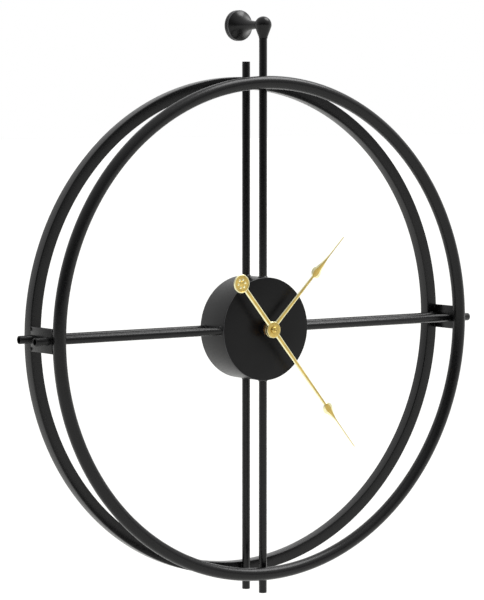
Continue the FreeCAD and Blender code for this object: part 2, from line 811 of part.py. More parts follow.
def thinning_face(centre, needle):
    """The hollow-sided stretch where the bulge thins down to the needle."""
    corner = bulge_r * math.sqrt(0.5)
    start = centre + corner
    middle_half = thinning_hollow * (corner + needle_root_half) / 2
    middle = (start + needle) / 2
    right = Part.Arc(Vector(corner, 0, start), Vector(middle_half, 0, middle),
                     Vector(needle_root_half, 0, needle)).toShape()
    left = Part.Arc(Vector(-needle_root_half, 0, needle), Vector(-middle_half, 0, middle),
                    Vector(-corner, 0, start)).toShape()
    top = Part.makeLine(Vector(needle_root_half, 0, needle), Vector(-needle_root_half, 0, needle))
    foot = Part.makeLine(Vector(-corner, 0, start), Vector(corner, 0, start))
    return flat_face([right, top, left, foot])


def hand_blade(length, bulge, needle, depth):
    """The blade of a hand that points straight up: hub, stem, bulge and needle."""
    faces = [circle_face(0, hand_hub_r),
             bar_face(0, stem_root_half, bulge, stem_tip_half),
             circle_face(bulge, bulge_r),
             thinning_face(bulge, needle),
             bar_face(needle, needle_root_half, length, needle_tip_half)]
    solids = [face.extrude(Vector(0, hand_thick, 0)) for face in faces]
    blade = join(*solids)
    blade.translate(Vector(0, -(depth + hand_thick / 2), 0))
    return blade


def turned(shape, degrees):
    """Turns a hand clockwise from twelve o'clock, as seen from the front."""
    shape.rotate(Vector(0, 0, 0), Vector(0, 1, 0), degrees)
    return shape


def minute_hand():
    back = minute_hand_depth - hand_thick / 2
    front = minute_hand_depth + hand_thick / 2
    blade = hand_blade(minute_length, minute_bulge, minute_needle, minute_hand_depth)
    tail = bar_face(-minute_tail, stem_root_half, 0, stem_root_half).extrude(Vector(0, hand_thick, 0))
    tail.translate(Vector(0, -front, 0))
    tail_spot = (0, -minute_tail)
    weight = disc(tail_disc_r, back, front, tail_spot)
    recess = tube(tail_disc_r - tail_rim, tail_boss_r, front - tail_recess, front, tail_spot)
    boss_back = hour_hand_depth + hand_thick / 2 + hand_gap
    boss = disc(minute_boss_r, boss_back, back)
    hand = join(blade, tail, weight, boss).cut(recess)
    return turned(hand.cut(disc(cannon_r, boss_back, front)), minute_angle)


def hour_hand():
    back = hour_hand_depth - hand_thick / 2
    blade = hand_blade(hour_length, hour_bulge, hour_needle, hour_hand_depth)
    boss = disc(hour_boss_r, bushing_front + hour_boss_gap, back)
    hand = join(blade, boss)
    return turned(hand.cut(disc(hour_tube_r, 0, back + hand_thick)), hour_angle)


def hand_cap_nut():
    """Domed nut that holds the minute hand on its arbor."""
    back = minute_hand_depth + hand_thick / 2
    sphere_r = (cap_r ** 2 + cap_height ** 2) / (2 * cap_height)
    dome = Part.makeSphere(sphere_r, Vector(0, -(back + cap_height - sphere_r), 0))
    keep = disc(cap_r, back, back + cap_height)
    thread = disc(cannon_thread_r, back, back + cap_height - cap_wall)
    return dome.common(keep).cut(thread)


# ---------------------------------------------------------------- the whole clock

directions = {"top": (0, 1), "bottom": (0, -1), "left": (-1, 0), "right": (1, 0)}

nodes = {
    "wall_flange": wall_flange(),
    "hanger_ball": hanger_ball(),
    "hanger_grub_screw": hanger_grub_screw(),
    "rear_ring": rear_ring(),
    "front_ring": front_ring(),
    "side_plate_left": side_plate(-1),
    "side_plate_right": side_plate(1),
    "drum_band": drum_band(),
    "drum_face": drum_face(),
    "rubber_gasket": rubber_gasket(),
    "movement_front": movement_front(),
    "movement_rear": movement_rear(),
    "centre_bushing": centre_bushing(),
    "dial_washer": dial_washer(),
    "dial_nut": dial_nut(),
    "coil_winding": coil_winding(),
    "coil_core": coil_core(),
    "stator": stator(),
    "circuit_board": circuit_board(),
    "chip_blob": chip_blob(),
    "quartz_crystal": quartz_crystal(),
    "contact_positive": contact_positive(),
    "contact_negative": contact_negative(),
    "battery_cell": battery_cell(),
    "minute_cannon": minute_cannon(),
    "centre_wheel": centre_wheel(),
    "minute_hand": minute_hand(),
    "hand_cap_nut": hand_cap_nut(),
    "hour_wheel": hour_wheel(),
    "hour_hand": hour_hand(),
    "transfer_wheel": transfer_wheel(),
    "third_wheel": third_wheel(),
    "seconds_wheel": seconds_wheel(),
    "first_wheel": first_wheel(),
    "rotor_pinion": rotor_pinion(),
    "rotor_magnet": rotor_magnet(),
    "setting_knob": setting_knob(),
}
for place, direction in directions.items():
    nodes["rear_rod_" + place] = rear_rod(direction)
    if place == "top":
        # the upper front rod runs on into the hanger's ball
        nodes["front_rod_top"] = front_rod(direction, hang_drop - rod_socket_drop)
    else:
        nodes["front_rod_" + place] = front_rod(direction)

os.makedirs("parts", exist_ok=True)
for name, shape in nodes.items():
    shape.translate(Vector(0, 0, -hang_drop))
    solids = shape.Solids
    if len(solids) != 1 or not shape.isValid():
        print("check", name, "solids", len(solids), "valid", shape.isValid())
    shape.exportStep("parts/" + name + ".step")
print(len(nodes), "nodes written")
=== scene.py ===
"""The looks of an open-frame wall clock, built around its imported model.

Everything is in metres. X is to the viewer's right, Z is up and the wall is the plane Y = 0.
A depth is a distance out from the wall, so a depth d lies at Y = -d.
"""

import math

import bmesh
import bpy
from bpy.props import FloatProperty, FloatVectorProperty, IntProperty, PointerProperty
from mathutils import Matrix, Vector


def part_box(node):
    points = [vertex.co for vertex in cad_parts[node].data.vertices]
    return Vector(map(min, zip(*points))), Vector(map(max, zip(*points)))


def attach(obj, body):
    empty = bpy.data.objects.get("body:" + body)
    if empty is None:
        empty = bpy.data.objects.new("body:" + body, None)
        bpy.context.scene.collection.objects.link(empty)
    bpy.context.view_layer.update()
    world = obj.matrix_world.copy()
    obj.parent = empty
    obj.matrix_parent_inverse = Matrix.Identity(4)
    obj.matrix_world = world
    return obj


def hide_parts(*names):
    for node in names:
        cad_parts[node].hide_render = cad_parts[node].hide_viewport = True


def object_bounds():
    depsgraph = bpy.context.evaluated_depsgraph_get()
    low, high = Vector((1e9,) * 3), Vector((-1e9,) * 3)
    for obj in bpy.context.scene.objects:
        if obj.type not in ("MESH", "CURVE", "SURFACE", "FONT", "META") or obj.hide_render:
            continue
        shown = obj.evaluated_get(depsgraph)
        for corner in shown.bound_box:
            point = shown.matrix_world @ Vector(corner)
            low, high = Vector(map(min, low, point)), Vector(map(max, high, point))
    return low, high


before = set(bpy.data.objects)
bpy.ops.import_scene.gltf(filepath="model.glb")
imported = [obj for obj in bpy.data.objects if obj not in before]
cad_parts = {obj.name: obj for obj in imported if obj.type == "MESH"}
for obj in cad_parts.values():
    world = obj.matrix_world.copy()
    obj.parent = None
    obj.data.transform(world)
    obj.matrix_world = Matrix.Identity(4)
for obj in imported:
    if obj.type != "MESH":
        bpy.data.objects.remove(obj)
cad_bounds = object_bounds()

bl_info = {
    "name": "Open-Frame Wall Clock",
    "version": (1, 0, 0),
    "blender": (4, 5, 0),
    "location": "3D View > Sidebar > Clock",
    "description": "Rings, rods, hanger, drum, hands and movement of a wall clock",
    "category": "Add Mesh",
}

MM = 0.001
DEPTH = Vector((0, 1, 0))
MERGE = 1e-7
HAIR = 1e-5
SHARP = math.radians(28)
HAND_SHARP = math.radians(18)
FLAT = math.radians(2)
BROAD = 10 * MM * MM

# finishes and slots that several pieces share
# the rim highlight is a paler grey coat that paints the light line onto sharp rims
COAT, SHEET_COAT, RIM_HIGHLIGHT = "black_powder_coat", "black_powder_coat_sheet", "rubbed_powder_coat"
OXIDE, PLASTIC, MOVEMENT = "black_oxide_steel", "moulded_abs", "movement_plastic"
GILT, POLISHED_HIGHLIGHT, TURNED = "gilt_brass", "polished_gilt_brass", "turned_brass"

# ------------------------------------------------------------------ places from the frame


def middle(node):
    low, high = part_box(node)
    return (low + high) / 2


def span(node):
    """Nearest and furthest depth of a node."""
    low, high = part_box(node)
    return -high.y, -low.y


def half_width(node):
    low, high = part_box(node)
    return (high.x - low.x) / 2


HUB = middle("front_ring") * Vector((1, 0, 1))
HANGER = middle("wall_flange") * Vector((1, 0, 1))


# ------------------------------------------------------------------ sizes and colours


def linear(code):
    """Turns an sRGB hex code into linear red, green and blue."""
    values = [int(code[i:i + 2], 16) / 255 for i in (1, 3, 5)]
    return [v / 12.92 if v <= 0.04045 else ((v + 0.055) / 1.055) ** 2.4 for v in values]


def size(name, description, millimetres):
    return FloatProperty(name=name, description=description, default=millimetres * MM,
                         unit="LENGTH", precision=5)


def count(name, description, number):
    return IntProperty(name=name, description=description, default=number, min=3)


def colour(name, description, code):
    return FloatVectorProperty(name=name, description=description, default=linear(code),
                               subtype="COLOR", size=3, min=0, max=1)


class ClockFrameSizes(bpy.types.PropertyGroup):
    ring_steps: count("Ring steps", "Steps round each ring", 288)
    tube_steps: count("Tube steps", "Sides of the front ring's tube", 28)
    bar_corner: size("Bar corner", "Radius on the rear ring's square bar", 1.0)
    rod_steps: count("Rod steps", "Sides of each rod", 48)
    rod_wall: size("Rod wall", "Thickness of the rods' tube wall", 1.05)
    rod_end: size("Rod end", "Bevel round each rod's free end", 0.5)
    bead_r: size("Weld bead", "Half the thickness of a weld bead", 1.25)
    bead_length: size("Bead length", "Length of a weld bead beside a rod", 8.0)
    ripple: size("Bead ripple", "Distance between a bead's ripples", 1.1)
    plate_thick: size("Plate thickness", "Thickness of the side plates", 3.0)
    plate_edge: size("Plate edge", "Bevel on the side plates", 0.35)


class ClockHangerSizes(bpy.types.PropertyGroup):
    ball_r: size("Ball radius", "Radius of the hanger's ball", 8.7)
    collar_r: size("Collar radius", "Radius of the collar on the upper rod", 4.6)
    collar_drop: size("Collar drop", "From the ball's centre to the collar", 12.5)
    collar_height: size("Collar height", "Height of the collar", 1.6)
    flange_disc: size("Flange disc", "Thickness of each flange disc", 2.6)
    flange_groove: size("Flange groove", "Width of the groove between the discs", 0.8)
    groove_depth: size("Groove depth", "Depth of that groove", 0.7)
    mouth_step: size("Mouth step", "From the disc's edge in to the flare's mouth", 1.6)
    flare_neck: size("Flare neck", "Radius of the flare's neck", 3.4)
    flare_decay: size("Flare decay", "Depth in which the flare falls to a third", 9.6)
    spigot_r: size("Spigot radius", "Radius of the pin that the ball turns on", 3.0)
    bolt_r: size("Bolt radius", "Radius of the threaded socket in the flange", 2.5)
    bolt_depth: size("Bolt depth", "Depth of the threaded socket", 12.0)
    screw_r: size("Screw radius", "Radius of the ball's set screw", 1.5)


class ClockDrumSizes(bpy.types.PropertyGroup):
    steps: count("Drum steps", "Steps round the drum", 224)
    wall: size("Drum wall", "Thickness of the drum's band", 1.2)
    edge: size("Face edge", "Radius round the drum's face", 0.55)
    rear_edge: size("Rear edge", "Radius on the band's rear rim", 0.35)
    thread_pitch: size("Thread pitch", "Pitch of the centre bushing", 0.75)
    thread_depth: size("Thread depth", "Depth of the bushing's thread", 0.35)


class ClockHandSizes(bpy.types.PropertyGroup):
    thickness: size("Hand thickness", "Thickness along the middle of a hand", 1.2)
    edge: size("Hand edge", "Thickness at the edges of a hand", 0.5)
    hub_r: size("Hub radius", "Radius of the disc on each hand", 8.4)
    stem_root: size("Stem root", "Half width of a stem at the hub", 2.6)
    stem_tip: size("Stem tip", "Half width of a stem at the bulge", 1.5)
    bulge_r: size("Bulge radius", "Half width of the bulge", 6.0)
    needle_root: size("Needle root", "Half width where the needle starts", 0.65)
    needle_tip: size("Needle tip", "Half width at the needle's point", 0.4)
    hour_bulge: size("Hour bulge", "Distance of the hour hand's bulge", 81.0)
    hour_needle: size("Hour needle", "Distance where the hour needle starts", 108.5)
    hour_length: size("Hour length", "Length of the hour hand", 131.6)
    minute_bulge: size("Minute bulge", "Distance of the minute hand's bulge", 111.3)
    minute_needle: size("Minute needle", "Distance where the minute needle starts", 130.5)
    minute_length: size("Minute length", "Length of the minute hand", 166.7)
    tail_length: size("Tail length", "Distance of the tail disc's centre", 63.8)
    tail_r: size("Tail radius", "Radius of the tail disc", 9.7)
    hour_angle: FloatProperty(name="Hour angle", description="Clockwise from twelve",
                              default=math.radians(45.0), subtype="ANGLE")
    minute_angle: FloatProperty(name="Minute angle", description="Clockwise from twelve",
                                default=math.radians(140.6), subtype="ANGLE")


class ClockColours(bpy.types.PropertyGroup):
    coat: colour("Powder coat", "Black coat of the steel frame", "#0A0A0B")
    # paler grey on the sharp rims: a painted highlight for the light line that they catch
    rubbed: colour("Rubbed coat", "Paler coat on the sharp rims, a painted highlight", "#4E4E50")
    gilt: colour("Gilt brass", "Brushed middle of the hands", "#CFB466")
    # the hands' bevels are polished, and this pale colour also paints in their highlight
    gilt_pale: colour("Pale gilt", "Polished edges of the hands", "#F8F2C4")
    brass: colour("Turned brass", "Bosses and arbors", "#E2AE6C")
    oxide: colour("Black oxide", "Oxidised nut and screw", "#24242A")
    moulding: colour("Moulding", "Plastic of the movement", "#1B1C1E")
    rubber: colour("Rubber", "Gasket behind the face", "#161616")
    acetal: colour("Acetal", "White wheels of the train", "#E6E3D8")
    copper: colour("Copper wire", "Enamelled wire of the coil", "#B4602C")
    iron: colour("Soft iron", "Core and stator", "#8A8780")
    board: colour("Circuit board", "Green solder mask", "#1F5A37")
    resin: colour("Resin", "Drop over the chip", "#0E0E10")
    nickel: colour("Nickel plate", "Springs and small cans", "#C9C6BC")
    magnet: colour("Magnet", "Sintered rotor magnet", "#3A3A3E")
    jacket: colour("Battery jacket", "Dark part of the battery's sleeve", "#1D2126")
    jacket_band: colour("Battery band", "Coppery part of the battery's sleeve", "#B87A3D")
    floor: colour("Floor", "Pale studio floor", "#E6E6E4")


class ClockSettings(bpy.types.PropertyGroup):
    body: PointerProperty(type=ClockFrameSizes)
    hanger: PointerProperty(type=ClockHangerSizes)
    drum: PointerProperty(type=ClockDrumSizes)
    hands: PointerProperty(type=ClockHandSizes)
    colours: PointerProperty(type=ClockColours)


# ------------------------------------------------------------------ shaping tools
# Shapes are drawn with the hand axis, or the hanger's axis, as their origin.


def swept(shape, outline, steps):
    """Sweeps an outline once round the depth axis and closes the seam."""
    bmesh.ops.spin(shape, geom=outline, axis=DEPTH, cent=(0, 0, 0), dvec=(0, 0, 0),
                   angle=2 * math.pi, steps=steps, use_merge=True)
    bmesh.ops.remove_doubles(shape, verts=shape.verts[:], dist=MERGE)
    bmesh.ops.recalc_face_normals(shape, faces=shape.faces[:])
    return shape


def turn_profile(profile, steps, closed=True):
    """Turns a profile of (radius, depth) points about the depth axis."""
    shape = bmesh.new()
    points = [shape.verts.new((radius, -depth, 0)) for radius, depth in profile]
    following = points[1:] + points[:1] if closed else points[1:]
    lines = [shape.edges.new(pair) for pair in zip(points, following)]
    return swept(shape, points + lines, steps)


def plain_ring(inner, outer, back, front, steps):
    return turn_profile([(inner, back), (outer, back), (outer, front), (inner, front)], steps)


def bar(radius, start, end, sides):
    """A round or many-sided bar that stands up from one height to another."""
    shape = bmesh.new()
    bmesh.ops.create_cone(shape, cap_ends=True, segments=sides, radius1=radius, radius2=radius,
                          depth=end - start, matrix=Matrix.Translation((0, 0, (start + end) / 2)))
    return shape


def box_between(low, high):
    shape = bmesh.new()
    low, high = Vector(low), Vector(high)
    place = Matrix.Translation((low + high) / 2) @ Matrix.Diagonal((*(high - low), 1))
    bmesh.ops.create_cube(shape, size=1, matrix=place)
    return shape


def soften(shape, width, segments, wanted=None):
    """Rounds the sharp edges, or those of them that a test picks out."""
    edges = [edge for edge in shape.edges if edge.is_manifold
             and edge.calc_face_angle(0) > SHARP and (wanted is None or wanted(edge))]
    bmesh.ops.bevel(shape, geom=edges, offset=width, offset_type="OFFSET", segments=segments,
                    profile=0.5, affect="EDGES", clamp_overlap=True, material=-1)
    return shape


def moved(shape, *steps):
    """Applies turns and shifts, the first one first."""
    for step in steps:
        bmesh.ops.transform(shape, matrix=step, space=Matrix.Identity(4), verts=shape.verts[:])
    return shape


def shift(x=0.0, depth=0.0, z=0.0):
    return Matrix.Translation((x, -depth, z))


def turn(degrees, axis):
    return Matrix.Rotation(math.radians(degrees), 4, axis)


def gathered(*shapes):
    """Puts several closed shapes into one."""
    whole = bmesh.new()
    for shape in shapes:
        mesh = bpy.data.meshes.new("part")
        shape.to_mesh(mesh)
        shape.free()
        whole.from_mesh(mesh)
        bpy.data.meshes.remove(mesh)
    return whole


def off_axis(face):
    """How far a face's middle lies from the axis it was turned about."""
    centre = face.calc_center_median()
    return math.hypot(centre.x, centre.z)


def pale_rims(shape, wanted):
    """Gives the picked faces the second, paler finish, which paints a highlight onto the rims."""
    for face in shape.faces:
        if wanted(face):
            face.material_index = 1
    return shape


def flatten(shape):
    """Joins the triangles of each flat face, so that it shades evenly."""
    bmesh.ops.dissolve_limit(shape, angle_limit=math.radians(0.3), verts=shape.verts[:],
                             edges=shape.edges[:], use_dissolve_boundaries=False,
                             delimit={"NORMAL"})


def loose_object(shape):
    mesh = bpy.data.meshes.new("blank")
    shape.to_mesh(mesh)
    shape.free()
    made = bpy.data.objects.new("blank", mesh)
    bpy.context.scene.collection.objects.link(made)
    return made


def carved(shape, cutter):
    """Cuts one closed shape out of another."""
    blank, tool = loose_object(shape), loose_object(cutter)
    cut = blank.modifiers.new("cut", "BOOLEAN")
    cut.object, cut.operation, cut.solver = tool, "DIFFERENCE", "EXACT"
    graph = bpy.context.evaluated_depsgraph_get()
    mesh = bpy.data.meshes.new_from_object(blank.evaluated_get(graph))
    result = bmesh.new()
    result.from_mesh(mesh)
    bmesh.ops.remove_doubles(result, verts=result.verts[:], dist=MERGE)
    flatten(result)
    for used in (blank.data, tool.data, mesh):
        bpy.data.meshes.remove(used)
    return result


def node_shape(node):
    """A merged copy of a CAD node's mesh, about the hand axis."""
    shape = bmesh.new()
    shape.from_mesh(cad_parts[node].data)
    bmesh.ops.remove_doubles(shape, verts=shape.verts[:], dist=MERGE)
    flatten(shape)
    return moved(shape, Matrix.Translation(-HUB))


def piece(name, shape, finishes, replaced=None, body="frame", origin=HUB, sharp=SHARP,
          broad=None):
    """Makes a finished piece of a shape, in place, riding on a body.

    The finishes are material names, one or a tuple. Edges bent by more than the sharp angle stay
    crisp, and so does every edge of a face whose area is above the broad one.
    """
    moved(shape, Matrix.Translation(origin))
    for edge in shape.edges:
        flat = broad and max(face.calc_area() for face in edge.link_faces) > broad
        edge.smooth = edge.calc_face_angle(0) < (FLAT if flat else sharp)
    mesh = bpy.data.meshes.new(name)
    shape.to_mesh(mesh)
    shape.free()
    for finish in (finishes,) if isinstance(finishes, str) else finishes:
        mesh.materials.append(bpy.data.materials[finish])
    mesh.polygons.foreach_set("use_smooth", [True] * len(mesh.polygons))
    made = bpy.data.objects.new(name, mesh)
    bpy.context.scene.collection.objects.link(made)
    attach(made, body)
    if replaced:
        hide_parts(replaced)


# ------------------------------------------------------------------ finishes


def feed(tree, node, inputs):
    """Links or sets a node's inputs: a socket is linked and a plain value is set."""
    for name, value in inputs.items():
        if isinstance(value, bpy.types.NodeSocket):
            tree.links.new(value, node.inputs[name])
        else:
            node.inputs[name].default_value = value


def add(tree, kind, inputs=None, **settings):
    """Adds a shader node with its settings and its inputs."""
    made = tree.nodes.new(kind)
    for name, value in settings.items():
        setattr(made, name, value)
    feed(tree, made, inputs or {})
    return made


def per(millimetres):
    """Texture scale for a feature of a real size."""
    return 1 / (millimetres * MM)


def solid(tint):
    return (*tint, 1)


def new_finish(name):
    """A material with its shader, and the pattern coordinates of its piece."""
    if name in bpy.data.materials:
        bpy.data.materials.remove(bpy.data.materials[name])
    material = bpy.data.materials.new(name)
    material.use_nodes = True
    tree = material.node_tree
    shader = tree.nodes["Principled BSDF"]
    place = add(tree, "ShaderNodeTexCoord").outputs["Object"]
    return tree, shader, place


def shade(colour_value, amount):
    """A lighter or darker version of a colour."""
    return solid([min(1, max(0, part * amount)) for part in colour_value])


def grained(name, tint, numbers, stretch, fixed):
    """A finish with an even colour in soft blotches, a fine grain and an uneven gloss."""
    grain_mm, bump_mm, rough, variation, contrast, blotch_mm = numbers
    tree, shader, place = new_finish(name)
    if stretch:
        place = add(tree, "ShaderNodeMapping", {"Vector": place, "Scale": stretch}).outputs[0]
    blotch = add(tree, "ShaderNodeTexNoise", {"Vector": place, "Scale": per(blotch_mm),
                                              "Detail": 4.0, "Roughness": 0.55}).outputs[0]
    grain = add(tree, "ShaderNodeTexNoise", {"Vector": place, "Scale": per(grain_mm),
                                             "Detail": 2.0}).outputs[0]
    cloud = add(tree, "ShaderNodeMapRange", {0: blotch, 1: 0.35, 2: 0.65}).outputs[0]
    shades = add(tree, "ShaderNodeMix", {0: cloud, 6: shade(tint, 1 - contrast),
                                         7: shade(tint, 1 + contrast)}, data_type="RGBA")
    gloss = add(tree, "ShaderNodeMapRange", {0: grain, 1: 0.35, 2: 0.65, 3: rough - variation,
                                             4: rough + variation})
    bump = add(tree, "ShaderNodeBump", {"Height": grain, "Distance": bump_mm * MM})
    feed(tree, shader, {"Base Color": shades.outputs[2], "Roughness": gloss.outputs[0],
                        "Normal": bump.outputs[0], **fixed})


# Each row: finish, colour, (grain mm, bump mm, roughness, its spread, contrast, blotch mm),
# stretch of the grain, and the shader's own settings.
GRAINED = (
    # Black polyester powder coat, sprayed and baked: satin, with a faint orange peel. The real
    # peel is about 0.8 mm across and is drawn at 1.6 mm so that it shows.
    (COAT, "coat", (1.6, 0.03, 0.27, 0.05, 0.25, 30.0), None,
     {"IOR": 1.5, "Specular IOR Level": 0.28}),
    # The same coat on the spun drum: a little flatter, as it lies on a broad sheet.
    (SHEET_COAT, "coat", (1.4, 0.025, 0.34, 0.05, 0.2, 26.0), None,
     {"IOR": 1.5, "Specular IOR Level": 0.20}),
    # The coat drawn thin and rubbed on a sharp rim: greyer, with a dull shine.
    # A paler grey coat on the sharp rims: a painted highlight standing in for the light line that
    # they catch, with a dull shine.
    (RIM_HIGHLIGHT, "rubbed", (0.9, 0.012, 0.36, 0.08, 0.35, 7.0), None,
     {"IOR": 1.5, "Specular IOR Level": 0.4}),
    # Brass bevelled and polished by a cutter, painted paler and brighter than the brass itself as a
    # painted highlight on the bevels. Cutter marks 0.2 mm apart are drawn 0.6 mm apart.
    (POLISHED_HIGHLIGHT, "gilt_pale", (0.6, 0.008, 0.34, 0.06, 0.08, 5.0), None, {"Metallic": 1.0}),
    # Steel blackened in a hot salt bath: dark, faintly blue and half glossy.
    (OXIDE, "oxide", (0.8, 0.012, 0.38, 0.07, 0.3, 5.0), None, {"Metallic": 0.7}),
    # Injection-moulded ABS with a spark-eroded grain: 0.3 mm grain drawn at 0.7 mm.
    (PLASTIC, "moulding", (0.7, 0.03, 0.5, 0.06, 0.2, 18.0), None, {"IOR": 1.53}),
    # Glass-filled nylon: black, with a dull gloss and pale flecks of fibre 0.4 mm long.
    ("black_glass_filled_nylon", "moulding", (0.4, 0.015, 0.48, 0.1, 0.35, 2.0), None,
     {"IOR": 1.53}),
    # Cut sheet rubber: matt, with a cloth-like press mark about 0.6 mm across.
    ("cut_sheet_rubber", "rubber", (0.6, 0.04, 0.82, 0.05, 0.2, 6.0), None,
     {"Specular IOR Level": 0.3}),
    # Moulded acetal: milky white and slippery, with a slow swirl from the mould's gate.
    ("moulded_acetal", "acetal", (0.5, 0.006, 0.36, 0.05, 0.05, 4.0), None,
     {"IOR": 1.48, "Subsurface Weight": 0.12, "Subsurface Radius": (0.002, 0.0018, 0.0015)}),
    # Stamped iron sheet: grey, with rolling lines 1.5 mm apart along X.
    ("stamped_soft_iron", "iron", (1.5, 0.01, 0.42, 0.08, 0.18, 3.0), (0.12, 1, 1),
     {"Metallic": 1.0}),
    # Black epoxy dropped on the chip: glossy, with faint waves about 1.5 mm across.
    ("dropped_epoxy", "resin", (1.5, 0.03, 0.2, 0.05, 0.3, 2.0), None, {"IOR": 1.55}),
    # Bright nickel over steel strip: pale and slightly warm, with fine rub marks along Z.
    ("nickel_plated_steel", "nickel", (0.5, 0.006, 0.27, 0.08, 0.1, 5.0), (1, 1, 0.15),
     {"Metallic": 1.0}),
    # Pressed and sintered ferrite: dark grey and grainy, with specks 0.4 mm across.
    ("sintered_ferrite", "magnet", (0.4, 0.03, 0.55, 0.1, 0.4, 1.0), None, {"Metallic": 0.5}),
    # Painted floor: pale and matt, with a very faint roller texture 20 mm across.
    ("painted_floor", "floor", (20.0, 0.05, 0.9, 0.03, 0.01, 400.0), None,
     {"Specular IOR Level": 0.1}),
)


def brushed_gilt(name, colours, angle):
    """Stamped brass, brushed along the hand and lacquered: golden, with faint pale lines.

    The brushing is about 0.15 mm between lines and is drawn at 0.5 mm, stretched 25 times.
    """
    tree, shader, place = new_finish(name)
    along = add(tree, "ShaderNodeMapping", {"Vector": place, "Rotation": (0, angle, 0),
                                            "Scale": (1, 1, 25)}, vector_type="TEXTURE").outputs[0]
    lines = add(tree, "ShaderNodeTexNoise", {"Vector": along, "Scale": per(0.5),
                                             "Detail": 2.0}).outputs[0]
    cloud = add(tree, "ShaderNodeTexNoise", {"Vector": place, "Scale": per(9.0),
                                             "Detail": 3.0}).outputs[0]
    both = add(tree, "ShaderNodeMath", {0: lines, 1: cloud}, operation="MULTIPLY").outputs[0]
    spread = add(tree, "ShaderNodeMapRange", {0: both, 1: 0.14, 2: 0.40}).outputs[0]
    tint = add(tree, "ShaderNodeMix", {0: spread, 6: shade(colours.gilt, 0.82),
                                       7: shade(colours.gilt, 1.22)}, data_type="RGBA")
    gloss = add(tree, "ShaderNodeMapRange", {0: lines, 1: 0.35, 2: 0.65, 3: 0.32, 4: 0.44})
    bump = add(tree, "ShaderNodeBump", {"Height": lines, "Distance": 0.02 * MM, "Strength": 0.6})
    feed(tree, shader, {"Base Color": tint.outputs[2], "Roughness": gloss.outputs[0],
                        "Normal": bump.outputs[0], "Metallic": 1.0})


def turned_brass(colours):
    """Free-cutting brass turned on a lathe: fine rings of tool marks round its axis.

    Tool marks 0.1 mm apart are drawn 0.45 mm apart.
    """
    tree, shader, place = new_finish("turned_brass")
    marks = add(tree, "ShaderNodeTexWave", {"Vector": place, "Scale": per(0.45) / 20,
                                            "Distortion": 0.4}, bands_direction="Y").outputs[1]
    tint = add(tree, "ShaderNodeMix", {0: marks, 6: shade(colours.brass, 0.86),
                                       7: shade(colours.brass, 1.12)}, data_type="RGBA")
    gloss = add(tree, "ShaderNodeMapRange", {0: marks, 3: 0.36, 4: 0.50})
    bump = add(tree, "ShaderNodeBump", {"Height": marks, "Distance": 0.02 * MM, "Strength": 0.5})
    feed(tree, shader, {"Base Color": tint.outputs[2], "Roughness": gloss.outputs[0],
                        "Normal": bump.outputs[0], "Metallic": 1.0})


def copper_winding(colours):
    """Enamelled wire in even layers: 0.1 mm wire, drawn at 0.3 mm so that its turns show."""
    tree, shader, place = new_finish("enamelled_copper_wire")
    turns = add(tree, "ShaderNodeTexWave", {"Vector": place, "Scale": per(0.3) / 20,
                                            "Distortion": 0.15}, bands_direction="X").outputs[1]
    tint = add(tree, "ShaderNodeMix", {0: turns, 6: shade(colours.copper, 0.55),
                                       7: shade(colours.copper, 1.15)}, data_type="RGBA")
    bump = add(tree, "ShaderNodeBump", {"Height": turns, "Distance": 0.08 * MM})
    feed(tree, shader, {"Base Color": tint.outputs[2], "Normal": bump.outputs[0],
                        "Metallic": 0.85, "Roughness": 0.34, "Coat Weight": 0.5,
                        "Coat Roughness": 0.15})


def circuit_board(colours):
    """Glass-fibre board under green solder mask, with raised copper tracks 0.8 mm wide."""
    tree, shader, place = new_finish("solder_masked_board")
    cells = add(tree, "ShaderNodeTexVoronoi", {"Vector": place, "Scale": per(3.2)},
                feature="DISTANCE_TO_EDGE").outputs["Distance"]
    tracks = add(tree, "ShaderNodeMapRange", {0: cells, 1: 0.10, 2: 0.16, 3: 1.0, 4: 0.0})
    tint = add(tree, "ShaderNodeMix", {0: tracks.outputs[0], 6: solid(colours.board),
                                       7: shade(colours.board, 1.7)}, data_type="RGBA")
    bump = add(tree, "ShaderNodeBump", {"Height": tracks.outputs[0], "Distance": 0.05 * MM})
    feed(tree, shader, {"Base Color": tint.outputs[2], "Normal": bump.outputs[0],
                        "Roughness": 0.28})


def battery_sleeve(colours):
    """Printed shrink sleeve: a dark length and a coppery length under a glossy film."""
    tree, shader, place = new_finish("printed_shrink_sleeve")
    low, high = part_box("battery_cell")
    split = low.x + (high.x - low.x) * 0.68
    x = add(tree, "ShaderNodeSeparateXYZ", {0: place}).outputs["X"]
    band = add(tree, "ShaderNodeMapRange", {0: x, 1: split - 0.1 * MM,
                                            2: split + 0.1 * MM}).outputs[0]
    wrinkle = add(tree, "ShaderNodeTexNoise", {"Vector": place, "Scale": per(5.0),
                                               "Detail": 3.0}).outputs[0]
    dark, bright = (add(tree, "ShaderNodeMix", {0: wrinkle, 6: shade(tint, 0.85),
                                                7: shade(tint, 1.15)}, data_type="RGBA").outputs[2]
                    for tint in (colours.jacket, colours.jacket_band))
    tint = add(tree, "ShaderNodeMix", {0: band, 6: dark, 7: bright}, data_type="RGBA")
    metal = add(tree, "ShaderNodeMapRange", {0: band, 4: 0.75})
    bump = add(tree, "ShaderNodeBump", {"Height": wrinkle, "Distance": 0.05 * MM})
    feed(tree, shader, {"Base Color": tint.outputs[2], "Metallic": metal.outputs[0],
                        "Normal": bump.outputs[0], "Roughness": 0.26})


def repaint(finish, *nodes):
    """Gives CAD nodes that stay in view their finish."""
    material = bpy.data.materials[finish]
    for node in nodes:
        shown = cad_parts[node]
        if not shown.material_slots:
            shown.data.materials.append(material)
        for place in shown.material_slots:
            place.material = material


# ------------------------------------------------------------------ welds


